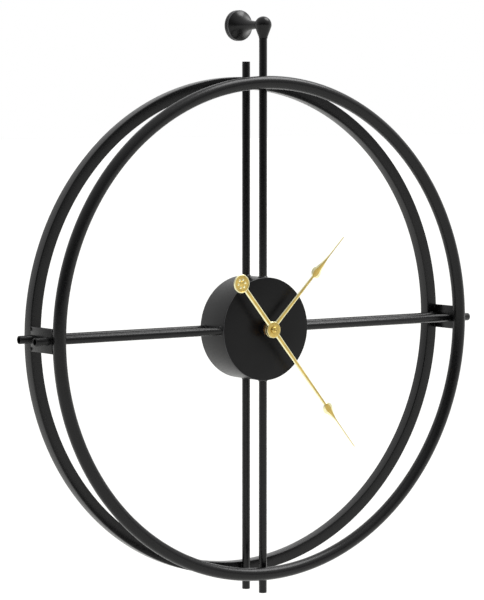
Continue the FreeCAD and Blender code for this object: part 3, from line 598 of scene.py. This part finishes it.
def weld_bead(length, radius, ripple):
    """A laid bead of weld with its ripples, standing along the depth axis, about its middle."""
    steps = max(4, round(length / ripple) * 2)
    profile = [(0, -length / 2)]
    for step in range(1, steps):
        along = step / steps
        swell = math.sin(math.pi * along) ** 0.5
        wave = 1.0 if step % 2 else 0.92
        profile.append((radius * swell * wave, (along - 0.5) * length))
    profile.append((0, length / 2))
    return turn_profile(profile, 12, closed=False)


# ------------------------------------------------------------------ operators


class StudioOperator(bpy.types.Operator):
    """Lays the pale floor and sets the soft lights and the camera"""
    bl_idname = "clock.studio"
    bl_label = "Studio"

    def execute(self, context):
        floor_drop, floor_reach = 0.30, 40
        floor = bmesh.new()
        bmesh.ops.create_grid(floor, x_segments=4, y_segments=4, size=floor_reach,
                              matrix=shift(z=cad_bounds[0].z - floor_drop))
        mesh = bpy.data.meshes.new("floor")
        floor.to_mesh(mesh)
        floor.free()
        mesh.materials.append(bpy.data.materials["painted_floor"])
        sheet = bpy.data.objects.new("floor", mesh)
        context.scene.collection.objects.link(sheet)

        world = bpy.data.worlds.new("studio")
        world.use_nodes = True
        tree = world.node_tree
        backdrop = tree.nodes["Background"]
        # dim to the left, half lit in front, bright above, behind and to the right
        direction = add(tree, "ShaderNodeTexCoord").outputs["Generated"]
        lit = add(tree, "ShaderNodeVectorMath", {0: direction, 1: (0.45, 0.55, 0.80)},
                  operation="DOT_PRODUCT").outputs["Value"]
        glow = add(tree, "ShaderNodeMapRange", {0: lit, 1: -0.5, 2: 0.4, 3: 0.08, 4: 1.0})
        # seen straight on, the room is plain and pale from every side
        seen = add(tree, "ShaderNodeLightPath").outputs["Is Camera Ray"]
        plain = add(tree, "ShaderNodeMath", {0: glow.outputs[0], 1: seen}, operation="MAXIMUM")
        tree.links.new(plain.outputs[0], backdrop.inputs["Strength"])
        backdrop.inputs["Color"].default_value = (1, 1, 1, 1)
        context.scene.world = world
        context.scene.view_settings.view_transform = "Standard"

        overhead = bpy.data.lights.new("overhead_softbox", "SUN")
        overhead.energy = 2.1
        overhead.angle = math.radians(38)
        lamp = bpy.data.objects.new("overhead_softbox", overhead)
        lamp.rotation_euler = (math.radians(6), math.radians(33), 0)
        context.scene.collection.objects.link(lamp)

        azimuth, elevation, distance = math.radians(-35.479), math.radians(4.157), 3.0392
        back = Vector((math.sin(azimuth) * math.cos(elevation),
                       -math.cos(azimuth) * math.cos(elevation), math.sin(elevation)))
        target = HUB + Vector((0.028003, 0.030, 0.024166))
        lens = bpy.data.cameras.new("camera")
        lens.sensor_width = 36.0
        lens.lens = 171.03
        lens.clip_start, lens.clip_end = 0.1, 200
        camera = bpy.data.objects.new("camera", lens)
        camera.location = target + back * distance
        camera.rotation_mode = "QUATERNION"
        camera.rotation_quaternion = (-back).to_track_quat("-Z", "Y")
        context.scene.collection.objects.link(camera)
        context.scene.camera = camera
        return {"FINISHED"}


class FlangeOperator(bpy.types.Operator):
    """Turns the stand-off flange that is bolted to the wall"""
    bl_idname = "clock.flange"
    bl_label = "Wall flange"

    def execute(self, context):
        sizes = context.scene.clock.hanger
        outer = half_width("wall_flange")
        spigot_end = span("wall_flange")[1]
        ball_middle = -middle("front_rod_top").y
        shoulder = -middle("hanger_ball").y - sizes.ball_r - 0.6 * MM
        disc, groove, waist = sizes.flange_disc, sizes.flange_groove, outer - sizes.groove_depth
        rim, lip = 0.45 * MM, 0.7 * MM
        mouth = outer - sizes.mouth_step
        second, top = disc + groove, 2 * disc + groove
        profile = [(0, sizes.bolt_depth), (sizes.bolt_r, sizes.bolt_depth),
                   (sizes.bolt_r, 0.4 * MM), (sizes.bolt_r + 0.4 * MM, 0),
                   (outer - rim, 0), (outer, rim), (outer, disc - rim), (outer - rim, disc),
                   (waist, disc), (waist, second), (outer - rim, second), (outer, second + rim),
                   (outer, top - lip), (outer - 0.2 * MM, top - 0.2 * MM), (outer - lip, top)]
        flare_steps = 22
        start = top + lip
        for step in range(flare_steps + 1):
            depth = start + (shoulder - start) * step / flare_steps
            fall = math.exp(-(depth - start) / sizes.flare_decay)
            profile.append((sizes.flare_neck + (mouth - sizes.flare_neck) * fall, depth))
        groove_middle = ball_middle - 2.8 * MM
        spigot, root = sizes.spigot_r, sizes.spigot_r - 0.6 * MM
        profile += [(spigot, shoulder), (spigot, groove_middle - 1 * MM),
                    (root, groove_middle - 0.8 * MM), (root, groove_middle + 0.8 * MM),
                    (spigot, groove_middle + 1 * MM), (spigot, spigot_end - 0.4 * MM),
                    (spigot - 0.4 * MM, spigot_end), (0, spigot_end)]
        shape = turn_profile(profile, 96, closed=False)
        rim_inner = outer - lip - 0.1 * MM
        # the flange's rim bevels take the paler coat: a painted highlight
        pale_rims(shape, lambda face: (0.1 < abs(face.normal.y) < 0.97
                                       and off_axis(face) > rim_inner))
        piece("stand_off_flange", shape, (COAT, RIM_HIGHLIGHT), "wall_flange", body="wall_mount",
              origin=HANGER)
        return {"FINISHED"}


class HangerOperator(bpy.types.Operator):
    """Makes the ball that turns on the flange, and its set screw"""
    bl_idname = "clock.hanger"
    bl_label = "Hanger ball"

    def execute(self, context):
        sizes = context.scene.clock.hanger
        depth = -middle("front_rod_top").y
        reach = math.hypot(sizes.collar_r, sizes.collar_drop)
        tangent = math.acos(sizes.ball_r / reach) - math.atan2(sizes.collar_drop, sizes.collar_r)
        steps = 30
        profile = []
        for step in range(steps + 1):
            angle = math.pi / 2 + (tangent - math.pi / 2) * step / steps
            profile.append((sizes.ball_r * math.cos(angle), -sizes.ball_r * math.sin(angle)))
        foot = sizes.collar_drop + sizes.collar_height
        edge = 0.3 * MM
        profile += [(sizes.collar_r, sizes.collar_drop), (sizes.collar_r, foot - edge),
                    (sizes.collar_r - edge, foot), (0, foot)]
        ball = turn_profile(profile, 72, closed=False)
        moved(ball, turn(90, "X"), shift(depth=depth))
        bore = moved(bar(sizes.spigot_r + 0.05 * MM, 0, depth + 3.5 * MM, 48), turn(90, "X"))
        ball = carved(ball, bore)
        screw_depth = depth - 2.8 * MM
        hole = moved(bar(sizes.screw_r, 0, 2 * sizes.ball_r, 32), turn(90, "Y"),
                     shift(depth=screw_depth))
        ball = carved(ball, hole)
        piece("hanger_ball_turned", ball, COAT, "hanger_ball", origin=HANGER)

        low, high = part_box("hanger_grub_screw")
        inner, outer = low.x - HANGER.x, high.x - HANGER.x
        tip_r, crest, valley = 0.9 * MM, sizes.screw_r - 0.02 * MM, sizes.screw_r - 0.25 * MM
        thread = [(0, inner), (tip_r, inner), (tip_r, inner + 0.9 * MM)]
        pitch, along = 0.5 * MM, inner + 1.0 * MM
        while along + pitch < outer - 0.2 * MM:
            thread += [(valley, along), (crest, along + pitch / 2)]
            along += pitch
        thread += [(valley, along), (crest, outer - 0.2 * MM), (valley, outer), (0, outer)]
        screw = turn_profile(thread, 32, closed=False)
        key = moved(bar(0.85 * MM, 0, 3.0 * MM, 6), turn(90, "X"), shift(depth=outer - 1.5 * MM))
        screw = carved(screw, key)
        # the screw was drawn along the depth and now lies to the right
        moved(screw, turn(90, "Z"), shift(depth=screw_depth))
        piece("hanger_set_screw", screw, OXIDE, "hanger_grub_screw", origin=HANGER)
        return {"FINISHED"}


class RingsOperator(bpy.types.Operator):
    """Bends the square rear ring and the round front ring"""
    bl_idname = "clock.rings"
    bl_label = "Rings"

    def execute(self, context):
        sizes = context.scene.clock.body
        outer = half_width("rear_ring")
        back, front = span("rear_ring")
        inner = outer - (front - back)
        square = plain_ring(inner, outer, back, front, sizes.ring_steps)
        soften(square, sizes.bar_corner, 4)
        piece("rear_ring_bar", square, COAT, "rear_ring")

        back, front = span("front_ring")
        tube_r = (front - back) / 2
        shape = bmesh.new()
        made = bmesh.ops.create_circle(shape, segments=sizes.tube_steps, radius=tube_r,
                                       matrix=shift(half_width("front_ring") - tube_r,
                                                    (front + back) / 2))
        round_edges = list({edge for vert in made["verts"] for edge in vert.link_edges})
        swept(shape, made["verts"] + round_edges, sizes.ring_steps)
        piece("front_ring_tube", shape, COAT, "front_ring")
        return {"FINISHED"}


def tube_bar(outer, inner, start, end, bevel, sides):
    """A tube that stands up, with both its rims bevelled at the upper end."""
    shape = turn_profile([(inner, start), (outer, start), (outer, end - bevel),
                          (outer - bevel * 0.3, end - bevel * 0.3), (outer - bevel, end),
                          (inner + bevel / 3, end), (inner, end - bevel / 3)], sides)
    return moved(shape, turn(-90, "X"))


class RodsOperator(bpy.types.Operator):
    """Cuts the eight rods from tube and lays the welds that hold them"""
    bl_idname = "clock.rods"
    bl_label = "Rods"

    def execute(self, context):
        sizes = context.scene.clock.body
        drum_r = half_width("drum_band")
        rod_r = half_width("rear_rod_top")
        rear_mid = half_width("rear_ring") - (span("rear_ring")[1] - span("rear_ring")[0]) / 2
        tube_r = (span("front_ring")[1] - span("front_ring")[0]) / 2
        front_mid = half_width("front_ring") - tube_r
        for place, angle in (("top", 0), ("right", 90), ("bottom", 180), ("left", 270)):
            for row in ("rear", "front"):
                node = f"{row}_rod_{place}"
                low, high = (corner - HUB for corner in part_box(node))
                reach = max(abs(value) for value in (low.x, high.x, low.z, high.z))
                rear = row == "rear"
                depth = (span("rear_ring")[1] + rod_r if rear
                         else span("front_ring")[0] - rod_r)
                rod = tube_bar(rod_r, rod_r - sizes.rod_wall, drum_r - 0.6 * MM, reach,
                               sizes.rod_end, sizes.rod_steps)
                # a rounded fillet of weld where the rod meets the drum
                foot = drum_r - 0.7 * MM
                collar = turn_profile([(rod_r - 0.2 * MM, foot), (rod_r + 1.2 * MM, foot),
                                       (rod_r + 0.9 * MM, foot + 0.9 * MM),
                                       (rod_r + 0.4 * MM, foot + 1.5 * MM),
                                       (rod_r - 0.2 * MM, foot + 2.1 * MM)], 32)
                parts = [moved(rod, shift(depth=depth)),
                         moved(collar, turn(-90, "X"), shift(depth=depth))]
                for side in (-1, 1):
                    if rear:
                        bead = weld_bead(sizes.bead_length, sizes.bead_r, sizes.ripple)
                        moved(bead, turn(90, "X"),
                              shift(side * (rod_r - 0.9 * MM), depth - rod_r + 0.55 * MM, rear_mid))
                    else:
                        bead = weld_bead(sizes.bead_length * 0.85, sizes.bead_r, sizes.ripple)
                        moved(bead, turn(90, "Z"),
                              shift(0, depth + rod_r - 0.3 * MM, front_mid + side * 1.9 * MM))
                    parts.append(bead)
                shape = moved(gathered(*parts), turn(angle, "Y"))
                piece(node + "_welded", shape, COAT, node)
        return {"FINISHED"}


class PlatesOperator(bpy.types.Operator):
    """Cuts the two side plates that join the rings, and their weld spots"""
    bl_idname = "clock.plates"
    bl_label = "Side plates"

    def execute(self, context):
        sizes = context.scene.clock.body
        outer = half_width("rear_ring")
        inner = outer - sizes.plate_thick
        rod_r = half_width("rear_rod_top")
        ring_back, ring_front = span("front_ring")
        tube_r = (ring_front - ring_back) / 2
        ring_mid = half_width("front_ring") - tube_r
        rear = span("rear_ring")[1]
        for side, node in ((-1, "side_plate_left"), (1, "side_plate_right")):
            low, high = (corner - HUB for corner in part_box(node))
            tip = ring_back + 1.8 * MM
            plate = box_between((min(side * inner, side * outer), -tip, low.z),
                                (max(side * inner, side * outer), -rear, high.z))
            parts = [soften(plate, sizes.plate_edge, 2)]
            spots = []
            for height in (low.z + 2.4 * MM, high.z - 2.4 * MM):
                for face in (inner + 0.2 * MM, outer - 0.2 * MM):
                    spots.append((face, rear + 0.4 * MM, height, 4.6 * MM, 1.1 * MM))
                    sink = math.sqrt(tube_r ** 2 - (face - ring_mid) ** 2)
                    spots.append((face, (ring_back + ring_front) / 2 - sink, height, 5.0 * MM,
                                  1.4 * MM))
            for across, depth, height, length, radius in spots:
                spot = weld_bead(length, radius, sizes.ripple)
                parts.append(moved(spot, turn(90, "X"), shift(side * across, depth, height)))
            for depth in (rear + rod_r, ring_back - rod_r):
                for turned in (50, 130, 230, 310):
                    around = math.radians(turned)
                    spot = weld_bead(3.4 * MM, 0.9 * MM, sizes.ripple)
                    moved(spot, turn(turned, "X"),
                          shift(side * (outer - 0.1 * MM), depth + rod_r * math.cos(around),
                                rod_r * math.sin(around)))
                    parts.append(spot)
            piece(node + "_welded", gathered(*parts), COAT, node)
        return {"FINISHED"}


class DrumOperator(bpy.types.Operator):
    """Makes the drum's band and its face"""
    bl_idname = "clock.drum"
    bl_label = "Drum"

    def execute(self, context):
        sizes = context.scene.clock.drum
        outer = half_width("drum_band")
        back, front = span("drum_band")
        inner = outer - sizes.wall
        band = plain_ring(inner, outer, back, front, sizes.steps)
        soften(band, sizes.rear_edge, 3, lambda edge: edge.verts[0].co.y > -front + HAIR)
        piece("drum_band_rolled", band, SHEET_COAT, "drum_band")

        back, front = span("drum_face")
        bushing_hole = 4.2 * MM
        face = plain_ring(bushing_hole, outer, back, front, sizes.steps)
        soften(face, sizes.edge, 4, lambda edge: edge.verts[0].co.y < -front + HAIR)
        # the rounded front edge takes the paler coat: a painted highlight
        pale_rims(face, lambda part: 0.3 < abs(part.normal.y) < 0.97)
        piece("drum_face_pressed", face, (SHEET_COAT, RIM_HIGHLIGHT), "drum_face")
        return {"FINISHED"}


class FixingsOperator(bpy.types.Operator):
    """Makes the threaded bushing, the washer and the hexagon nut on the face"""
    bl_idname = "clock.fixings"
    bl_label = "Centre fixings"

    def execute(self, context):
        sizes = context.scene.clock.drum
        back, front = span("centre_bushing")
        crest = 4.0 * MM
        valley = crest - sizes.thread_depth
        bore = 2.55 * MM
        face_front = span("drum_face")[1]
        collar_back, collar_front = span("rubber_gasket")[0], span("rubber_gasket")[0] + 0.7 * MM
        profile = [(bore, back), (crest, back), (crest, collar_back), (5 * MM, collar_back),
                   (5 * MM, collar_front), (crest, collar_front), (crest, face_front)]
        along = face_front
        while along + sizes.thread_pitch < front - 0.2 * MM:
            profile += [(valley, along + sizes.thread_pitch / 2),
                        (crest, along + sizes.thread_pitch)]
            along += sizes.thread_pitch
        profile += [(valley, front), (bore, front)]
        piece("threaded_bushing", turn_profile(profile, 72), "black_glass_filled_nylon",
              "centre_bushing")

        back, front = span("dial_washer")
        outer = half_width("dial_washer")
        washer = plain_ring(crest, outer, back, front, 72)
        soften(washer, 0.12 * MM, 2)
        piece("plain_washer", washer, OXIDE, "dial_washer")

        back, front = span("dial_nut")
        corner = 5.5 * MM / math.cos(math.radians(30))
        nut = moved(bar(corner, back, front, 6), turn(90, "X"))
        soften(nut, 0.3 * MM, 3)
        bore_tool = moved(bar(crest, back - 1 * MM, front + 1 * MM, 48), turn(90, "X"))
        piece("hexagon_nut", carved(nut, bore_tool), OXIDE, "dial_nut")
        return {"FINISHED"}


def blade(stations, sizes, front):
    """A hand's blade that points up: a roof-shaped strip with cut bevels, over a flat back.

    The stations are (distance, half width). The bevels take the second finish.
    """
    shape = bmesh.new()
    rows = len(stations) - 1
    bmesh.ops.create_grid(shape, x_segments=6, y_segments=rows, size=1)
    shares = (-1, -0.58, -0.5, 0, 0.5, 0.58, 1)
    lifts = (0, 0.72, 0.80, 1, 0.80, 0.72, 0)
    rise = sizes.thickness - sizes.edge
    # the polished bevels take the pale gilt, which also paints in their highlight
    for face in shape.faces:
        face.material_index = 1 if abs(face.calc_center_median().x) > 0.5 else 0
    for vert in shape.verts:
        column = round((vert.co.x + 1) * 3)
        along, half = stations[round((vert.co.y + 1) / 2 * rows)]
        drop = rise * (1 - lifts[column]) * min(1.0, half / (1.2 * MM))
        vert.co = Vector((half * shares[column], -(front - drop), along))
    made = bmesh.ops.extrude_face_region(shape, geom=shape.faces[:])
    for vert in made["geom"]:
        if isinstance(vert, bmesh.types.BMVert):
            # a hair in front of the discs' backs, so that no two faces share a plane
            vert.co.y = -(front - sizes.thickness + 0.03 * MM)
    bmesh.ops.recalc_face_normals(shape, faces=shape.faces[:])
    for face in shape.faces:
        if abs(face.normal.y) < 0.3:
            face.material_index = 1
        elif face.normal.y > 0.9:
            face.material_index = 0
    return shape


def hand_stations(sizes, bulge, needle, length):
    """Half widths of a hand from its hub to its point."""
    radius = sizes.bulge_r
    stations = []

    def stem(along):
        return sizes.stem_root + (sizes.stem_tip - sizes.stem_root) * along / bulge

    start = bulge - radius
    for step in range(9):
        along = 5 * MM + (start - 5 * MM) * step / 8
        stations.append((along, stem(along)))
    for step in range(1, 15):
        angle = math.pi * (1 - 0.75 * step / 14)
        along = bulge + radius * math.cos(angle)
        stations.append((along, max(stem(along), radius * math.sin(angle))))
    corner = radius * math.sqrt(0.5)
    first, middle_half, last = corner, 0.72 * (corner + sizes.needle_root) / 2, sizes.needle_root
    for step in range(1, 13):
        share = step / 12
        # a curve through the corner, the hollow middle and the needle's root
        half = (first * (1 - share) * (1 - 2 * share) + 4 * middle_half * share * (1 - share)
                + last * share * (2 * share - 1))
        stations.append((bulge + corner + (needle - bulge - corner) * share, half))
    for step in range(1, 7):
        share = step / 6
        stations.append((needle + (length - needle) * share,
                         sizes.needle_root + (sizes.needle_tip - sizes.needle_root) * share))
    return stations


def hub_disc(sizes, bore, front):
    """The round middle of a hand, with a rounded rim."""
    disc = plain_ring(bore, sizes.hub_r, front - sizes.thickness, front, 96)
    soften(disc, 0.4 * MM, 3)
    # the disc's rounded rim takes the pale gilt: polish with a painted highlight
    return pale_rims(disc, lambda face: abs(face.normal.y) < 0.97)


class HourHandOperator(bpy.types.Operator):
    """Stamps the hour hand and turns its boss"""
    bl_idname = "clock.hour_hand"
    bl_label = "Hour hand"

    def execute(self, context):
        sizes = context.scene.clock.hands
        back, front = span("hour_hand")
        bore = 2.5 * MM
        stations = hand_stations(sizes, sizes.hour_bulge, sizes.hour_needle, sizes.hour_length)
        plate = gathered(blade(stations, sizes, front), hub_disc(sizes, bore, front))
        moved(plate, turn(math.degrees(sizes.hour_angle), "Y"))
        piece("hour_hand_blade", plate, ("brushed_gilt_brass_hour", POLISHED_HIGHLIGHT), "hour_hand",
              "hour_arbor", sharp=HAND_SHARP)
        boss_r, boss_front = 6.75 * MM, front - sizes.thickness
        waist = back + 0.62 * (boss_front - back)
        profile = [(bore, back), (boss_r - 0.5 * MM, back), (boss_r, back + 0.5 * MM),
                   (boss_r, waist), (boss_r - 0.35 * MM, waist + 0.2 * MM),
                   (boss_r - 0.35 * MM, waist + 0.6 * MM), (boss_r, waist + 0.8 * MM),
                   (boss_r, boss_front), (bore, boss_front)]
        piece("hour_hand_boss", turn_profile(profile, 72), TURNED, body="hour_arbor")
        return {"FINISHED"}


class MinuteHandOperator(bpy.types.Operator):
    """Stamps the minute hand with its tail disc and turns its boss"""
    bl_idname = "clock.minute_hand"
    bl_label = "Minute hand"

    def execute(self, context):
        sizes = context.scene.clock.hands
        back, front = span("minute_hand")
        rear = front - sizes.thickness
        bore = 1.6 * MM
        stations = hand_stations(sizes, sizes.minute_bulge, sizes.minute_needle,
                                 sizes.minute_length)
        foot = -sizes.tail_length + sizes.tail_r - 0.5 * MM
        tail = [(foot + (-5 * MM - foot) * step / 8, sizes.stem_root) for step in range(9)]
        rim, dip = 1.1 * MM, 0.45 * MM
        edge = sizes.tail_r
        weight = turn_profile([(0, rear), (edge - 0.3 * MM, rear), (edge, rear + 0.3 * MM),
                               (edge, front - 0.45 * MM), (edge - 0.45 * MM, front),
                               (edge - rim, front), (edge - rim - 0.4 * MM, front - dip),
                               (2.6 * MM, front - dip), (2.1 * MM, front - 0.1 * MM),
                               (1.2 * MM, front), (0, front)], 96, closed=False)
        # the tail disc's rim takes the pale gilt: polish with a painted highlight
        pale_rims(weight, lambda face: off_axis(face) > edge - rim)
        moved(weight, shift(z=-sizes.tail_length))
        parts = [blade(stations, sizes, front), blade(tail, sizes, front),
                 hub_disc(sizes, bore, front), weight]
        pellets, pellet_ring = 6, 4.3 * MM
        for number in range(pellets):
            pellet = turn_profile([(0, front - dip - 0.3 * MM), (1.3 * MM, front - dip),
                                   (1.15 * MM, front - 0.22 * MM), (0.7 * MM, front - 0.05 * MM),
                                   (0, front)], 20, closed=False)
            around = 2 * math.pi * (number + 0.5) / pellets
            # the pellets' fronts take the pale gilt: a painted highlight
            pale_rims(pellet, lambda face: face.normal.y < -0.5)
            parts.append(moved(pellet, shift(pellet_ring * math.cos(around), 0,
                                             pellet_ring * math.sin(around)
                                             - sizes.tail_length)))
        plate = moved(gathered(*parts), turn(math.degrees(sizes.minute_angle), "Y"))
        piece("minute_hand_blade", plate, ("brushed_gilt_brass_minute", POLISHED_HIGHLIGHT), "minute_hand",
              "minute_arbor", sharp=HAND_SHARP)
        boss_r = 5.0 * MM
        boss = turn_profile([(bore, back), (boss_r - 0.25 * MM, back), (boss_r, back + 0.25 * MM),
                             (boss_r, rear), (bore, rear)], 72)
        piece("minute_hand_boss", boss, TURNED, body="minute_arbor")
        return {"FINISHED"}


class CapNutOperator(bpy.types.Operator):
    """Turns the domed nut that holds the minute hand"""
    bl_idname = "clock.cap_nut"
    bl_label = "Cap nut"

    def execute(self, context):
        back, front = span("hand_cap_nut")
        outer = half_width("hand_cap_nut")
        height = front - back
        profile = [(0, back), (outer, back), (outer, back + 0.45 * height),
                   (outer - 0.25 * MM, back + 0.68 * height),
                   (outer - 0.75 * MM, back + 0.88 * height), (outer - 1.3 * MM, front),
                   (outer - 1.8 * MM, front),
                   (outer - 2.2 * MM, front - 0.35 * MM), (1.0 * MM, front - 0.6 * MM),
                   (0.8 * MM, front - 0.3 * MM), (0, front - 0.2 * MM)]
        shape = turn_profile(profile, 64, closed=False)
        piece("domed_cap_nut", shape, "brushed_gilt_brass_minute", "hand_cap_nut",
              "minute_arbor")
        return {"FINISHED"}


class MovementOperator(bpy.types.Operator):
    """Cuts the movement's tray and its thumb wheel, and marks them"""
    bl_idname = "clock.movement"
    bl_label = "Movement case"

    def execute(self, context):
        low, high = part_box("movement_rear")
        low, high = low - HUB, high - HUB
        rear = -high.y
        knob = middle("setting_knob") - HUB
        tray = node_shape("movement_rear")
        groove = turn_profile([(7.0 * MM, rear - 1 * MM), (7.5 * MM, rear - 1 * MM),
                               (7.5 * MM, rear + 0.35 * MM), (7.0 * MM, rear + 0.35 * MM)], 64)
        tray = carved(tray, moved(groove, shift(knob.x, 0, knob.z)))
        for across in (low.x + 5 * MM, high.x - 5 * MM):
            for height in (high.z - 3.2 * MM, low.z + 21 * MM):
                if (Vector((across, 0, height)) - Vector((knob.x, 0, knob.z))).length < 9 * MM:
                    continue
                pocket = box_between((across - 2.2 * MM, -(rear + 0.5 * MM), height - 0.9 * MM),
                                     (across + 2.2 * MM, -(rear - 1 * MM), height + 0.9 * MM))
                tray = carved(tray, pocket)
        piece("movement_tray", tray, PLASTIC, "movement_rear", broad=BROAD)

        wheel = node_shape("setting_knob")
        knob_rear = -(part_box("setting_knob")[1].y)
        slot = box_between((-3.6 * MM, -(knob_rear + 0.6 * MM), -0.5 * MM),
                           (3.6 * MM, -(knob_rear - 1 * MM), 0.5 * MM))
        wheel = carved(wheel, moved(slot, shift(knob.x, 0, knob.z)))
        piece("thumb_wheel", wheel, PLASTIC, "setting_knob", "knob", broad=BROAD)
        return {"FINISHED"}


class BatteryOperator(bpy.types.Operator):
    """Makes the battery with its sleeve and metal ends"""
    bl_idname = "clock.battery"
    bl_label = "Battery"

    def execute(self, context):
        low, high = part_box("battery_cell")
        centre = (low + high) / 2
        left, right = low.x - HUB.x, high.x - HUB.x
        radius = (high.z - low.z) / 2
        nub, nub_r = 1.0 * MM, 2.75 * MM
        shoulder = right - nub
        sleeve = [(radius - 0.9 * MM, left + 0.25 * MM), (radius - 0.5 * MM, left),
                  (radius - 0.15 * MM, left + 0.15 * MM), (radius, left + 0.5 * MM),
                  (radius, shoulder - 0.5 * MM), (radius - 0.15 * MM, shoulder - 0.15 * MM),
                  (radius - 0.5 * MM, shoulder), (radius - 1.1 * MM, shoulder - 0.25 * MM)]
        ends = [(0, left), (radius - 1.4 * MM, left), (radius - 1.7 * MM, left + 0.3 * MM),
                (radius - 0.7 * MM, left + 0.3 * MM), (radius - 0.7 * MM, shoulder - 0.3 * MM),
                (nub_r + 0.5 * MM, shoulder - 0.3 * MM), (nub_r, shoulder - 0.1 * MM),
                (nub_r, right - 0.3 * MM), (nub_r - 0.3 * MM, right), (0, right)]
        place = (turn(90, "Z"), shift(0, -centre.y, centre.z - HUB.z))
        skin = moved(turn_profile(sleeve, 64), *place)
        piece("battery_sleeve", skin, "printed_shrink_sleeve",
              body="battery")
        metal = moved(turn_profile(ends, 64, closed=False), *place)
        piece("battery_can", metal, "nickel_plated_steel", "battery_cell",
              "battery")
        return {"FINISHED"}


class InnerFinishOperator(bpy.types.Operator):
    """Gives the wheels, the motor and the board inside the movement their finishes"""
    bl_idname = "clock.inner_finish"
    bl_label = "Inner finishes"

    def execute(self, context):
        repaint("moulded_acetal", "centre_wheel", "hour_wheel", "transfer_wheel", "third_wheel",
                "seconds_wheel", "first_wheel", "rotor_pinion")
        repaint(TURNED, "minute_cannon")
        repaint(PLASTIC, "movement_front")
        repaint("cut_sheet_rubber", "rubber_gasket")
        repaint("enamelled_copper_wire", "coil_winding")
        repaint("stamped_soft_iron", "coil_core", "stator")
        repaint("solder_masked_board", "circuit_board")
        repaint("dropped_epoxy", "chip_blob")
        repaint("nickel_plated_steel", "quartz_crystal", "contact_positive", "contact_negative")
        repaint("sintered_ferrite", "rotor_magnet")
        return {"FINISHED"}


class FinishesOperator(bpy.types.Operator):
    """Mixes every finish of the clock"""
    bl_idname = "clock.finishes"
    bl_label = "Finishes"

    def execute(self, context):
        colours = context.scene.clock.colours
        hands = context.scene.clock.hands
        for row in GRAINED:
            finish, tint, *rest = row
            grained(finish, getattr(colours, tint), *rest)
        for finish in (turned_brass, copper_winding, circuit_board, battery_sleeve):
            finish(colours)
        brushed_gilt("brushed_gilt_brass_hour", colours, hands.hour_angle)
        brushed_gilt("brushed_gilt_brass_minute", colours, hands.minute_angle)
        return {"FINISHED"}


steps_in_order = (FinishesOperator, StudioOperator, FlangeOperator, HangerOperator, RingsOperator,
                  RodsOperator, PlatesOperator, DrumOperator, FixingsOperator, HourHandOperator,
                  MinuteHandOperator, CapNutOperator, MovementOperator, BatteryOperator,
                  InnerFinishOperator)


class ClockPanel(bpy.types.Panel):
    """Lists the clock's sizes and the steps that build it"""
    bl_idname = "VIEW3D_PT_clock"
    bl_label = "Wall clock"
    bl_space_type = "VIEW_3D"
    bl_region_type = "UI"
    bl_category = "Clock"

    def draw(self, context):
        clock = context.scene.clock
        for group in (clock.body, clock.hanger, clock.drum, clock.hands, clock.colours):
            column = self.layout.column(align=True)
            for name in group.__annotations__:
                column.prop(group, name)
        for step in steps_in_order:
            self.layout.operator(step.bl_idname)


classes = (ClockFrameSizes, ClockHangerSizes, ClockDrumSizes, ClockHandSizes, ClockColours,
           ClockSettings) + steps_in_order + (ClockPanel,)


def register():
    for entry in classes:
        bpy.utils.register_class(entry)
    bpy.types.Scene.clock = PointerProperty(type=ClockSettings)


def unregister():
    del bpy.types.Scene.clock
    for entry in reversed(classes):
        bpy.utils.unregister_class(entry)


def main():
    register()
    for step in steps_in_order:
        group, name = step.bl_idname.split(".")
        getattr(getattr(bpy.ops, group), name)()


if __name__ == "__main__":
    main()
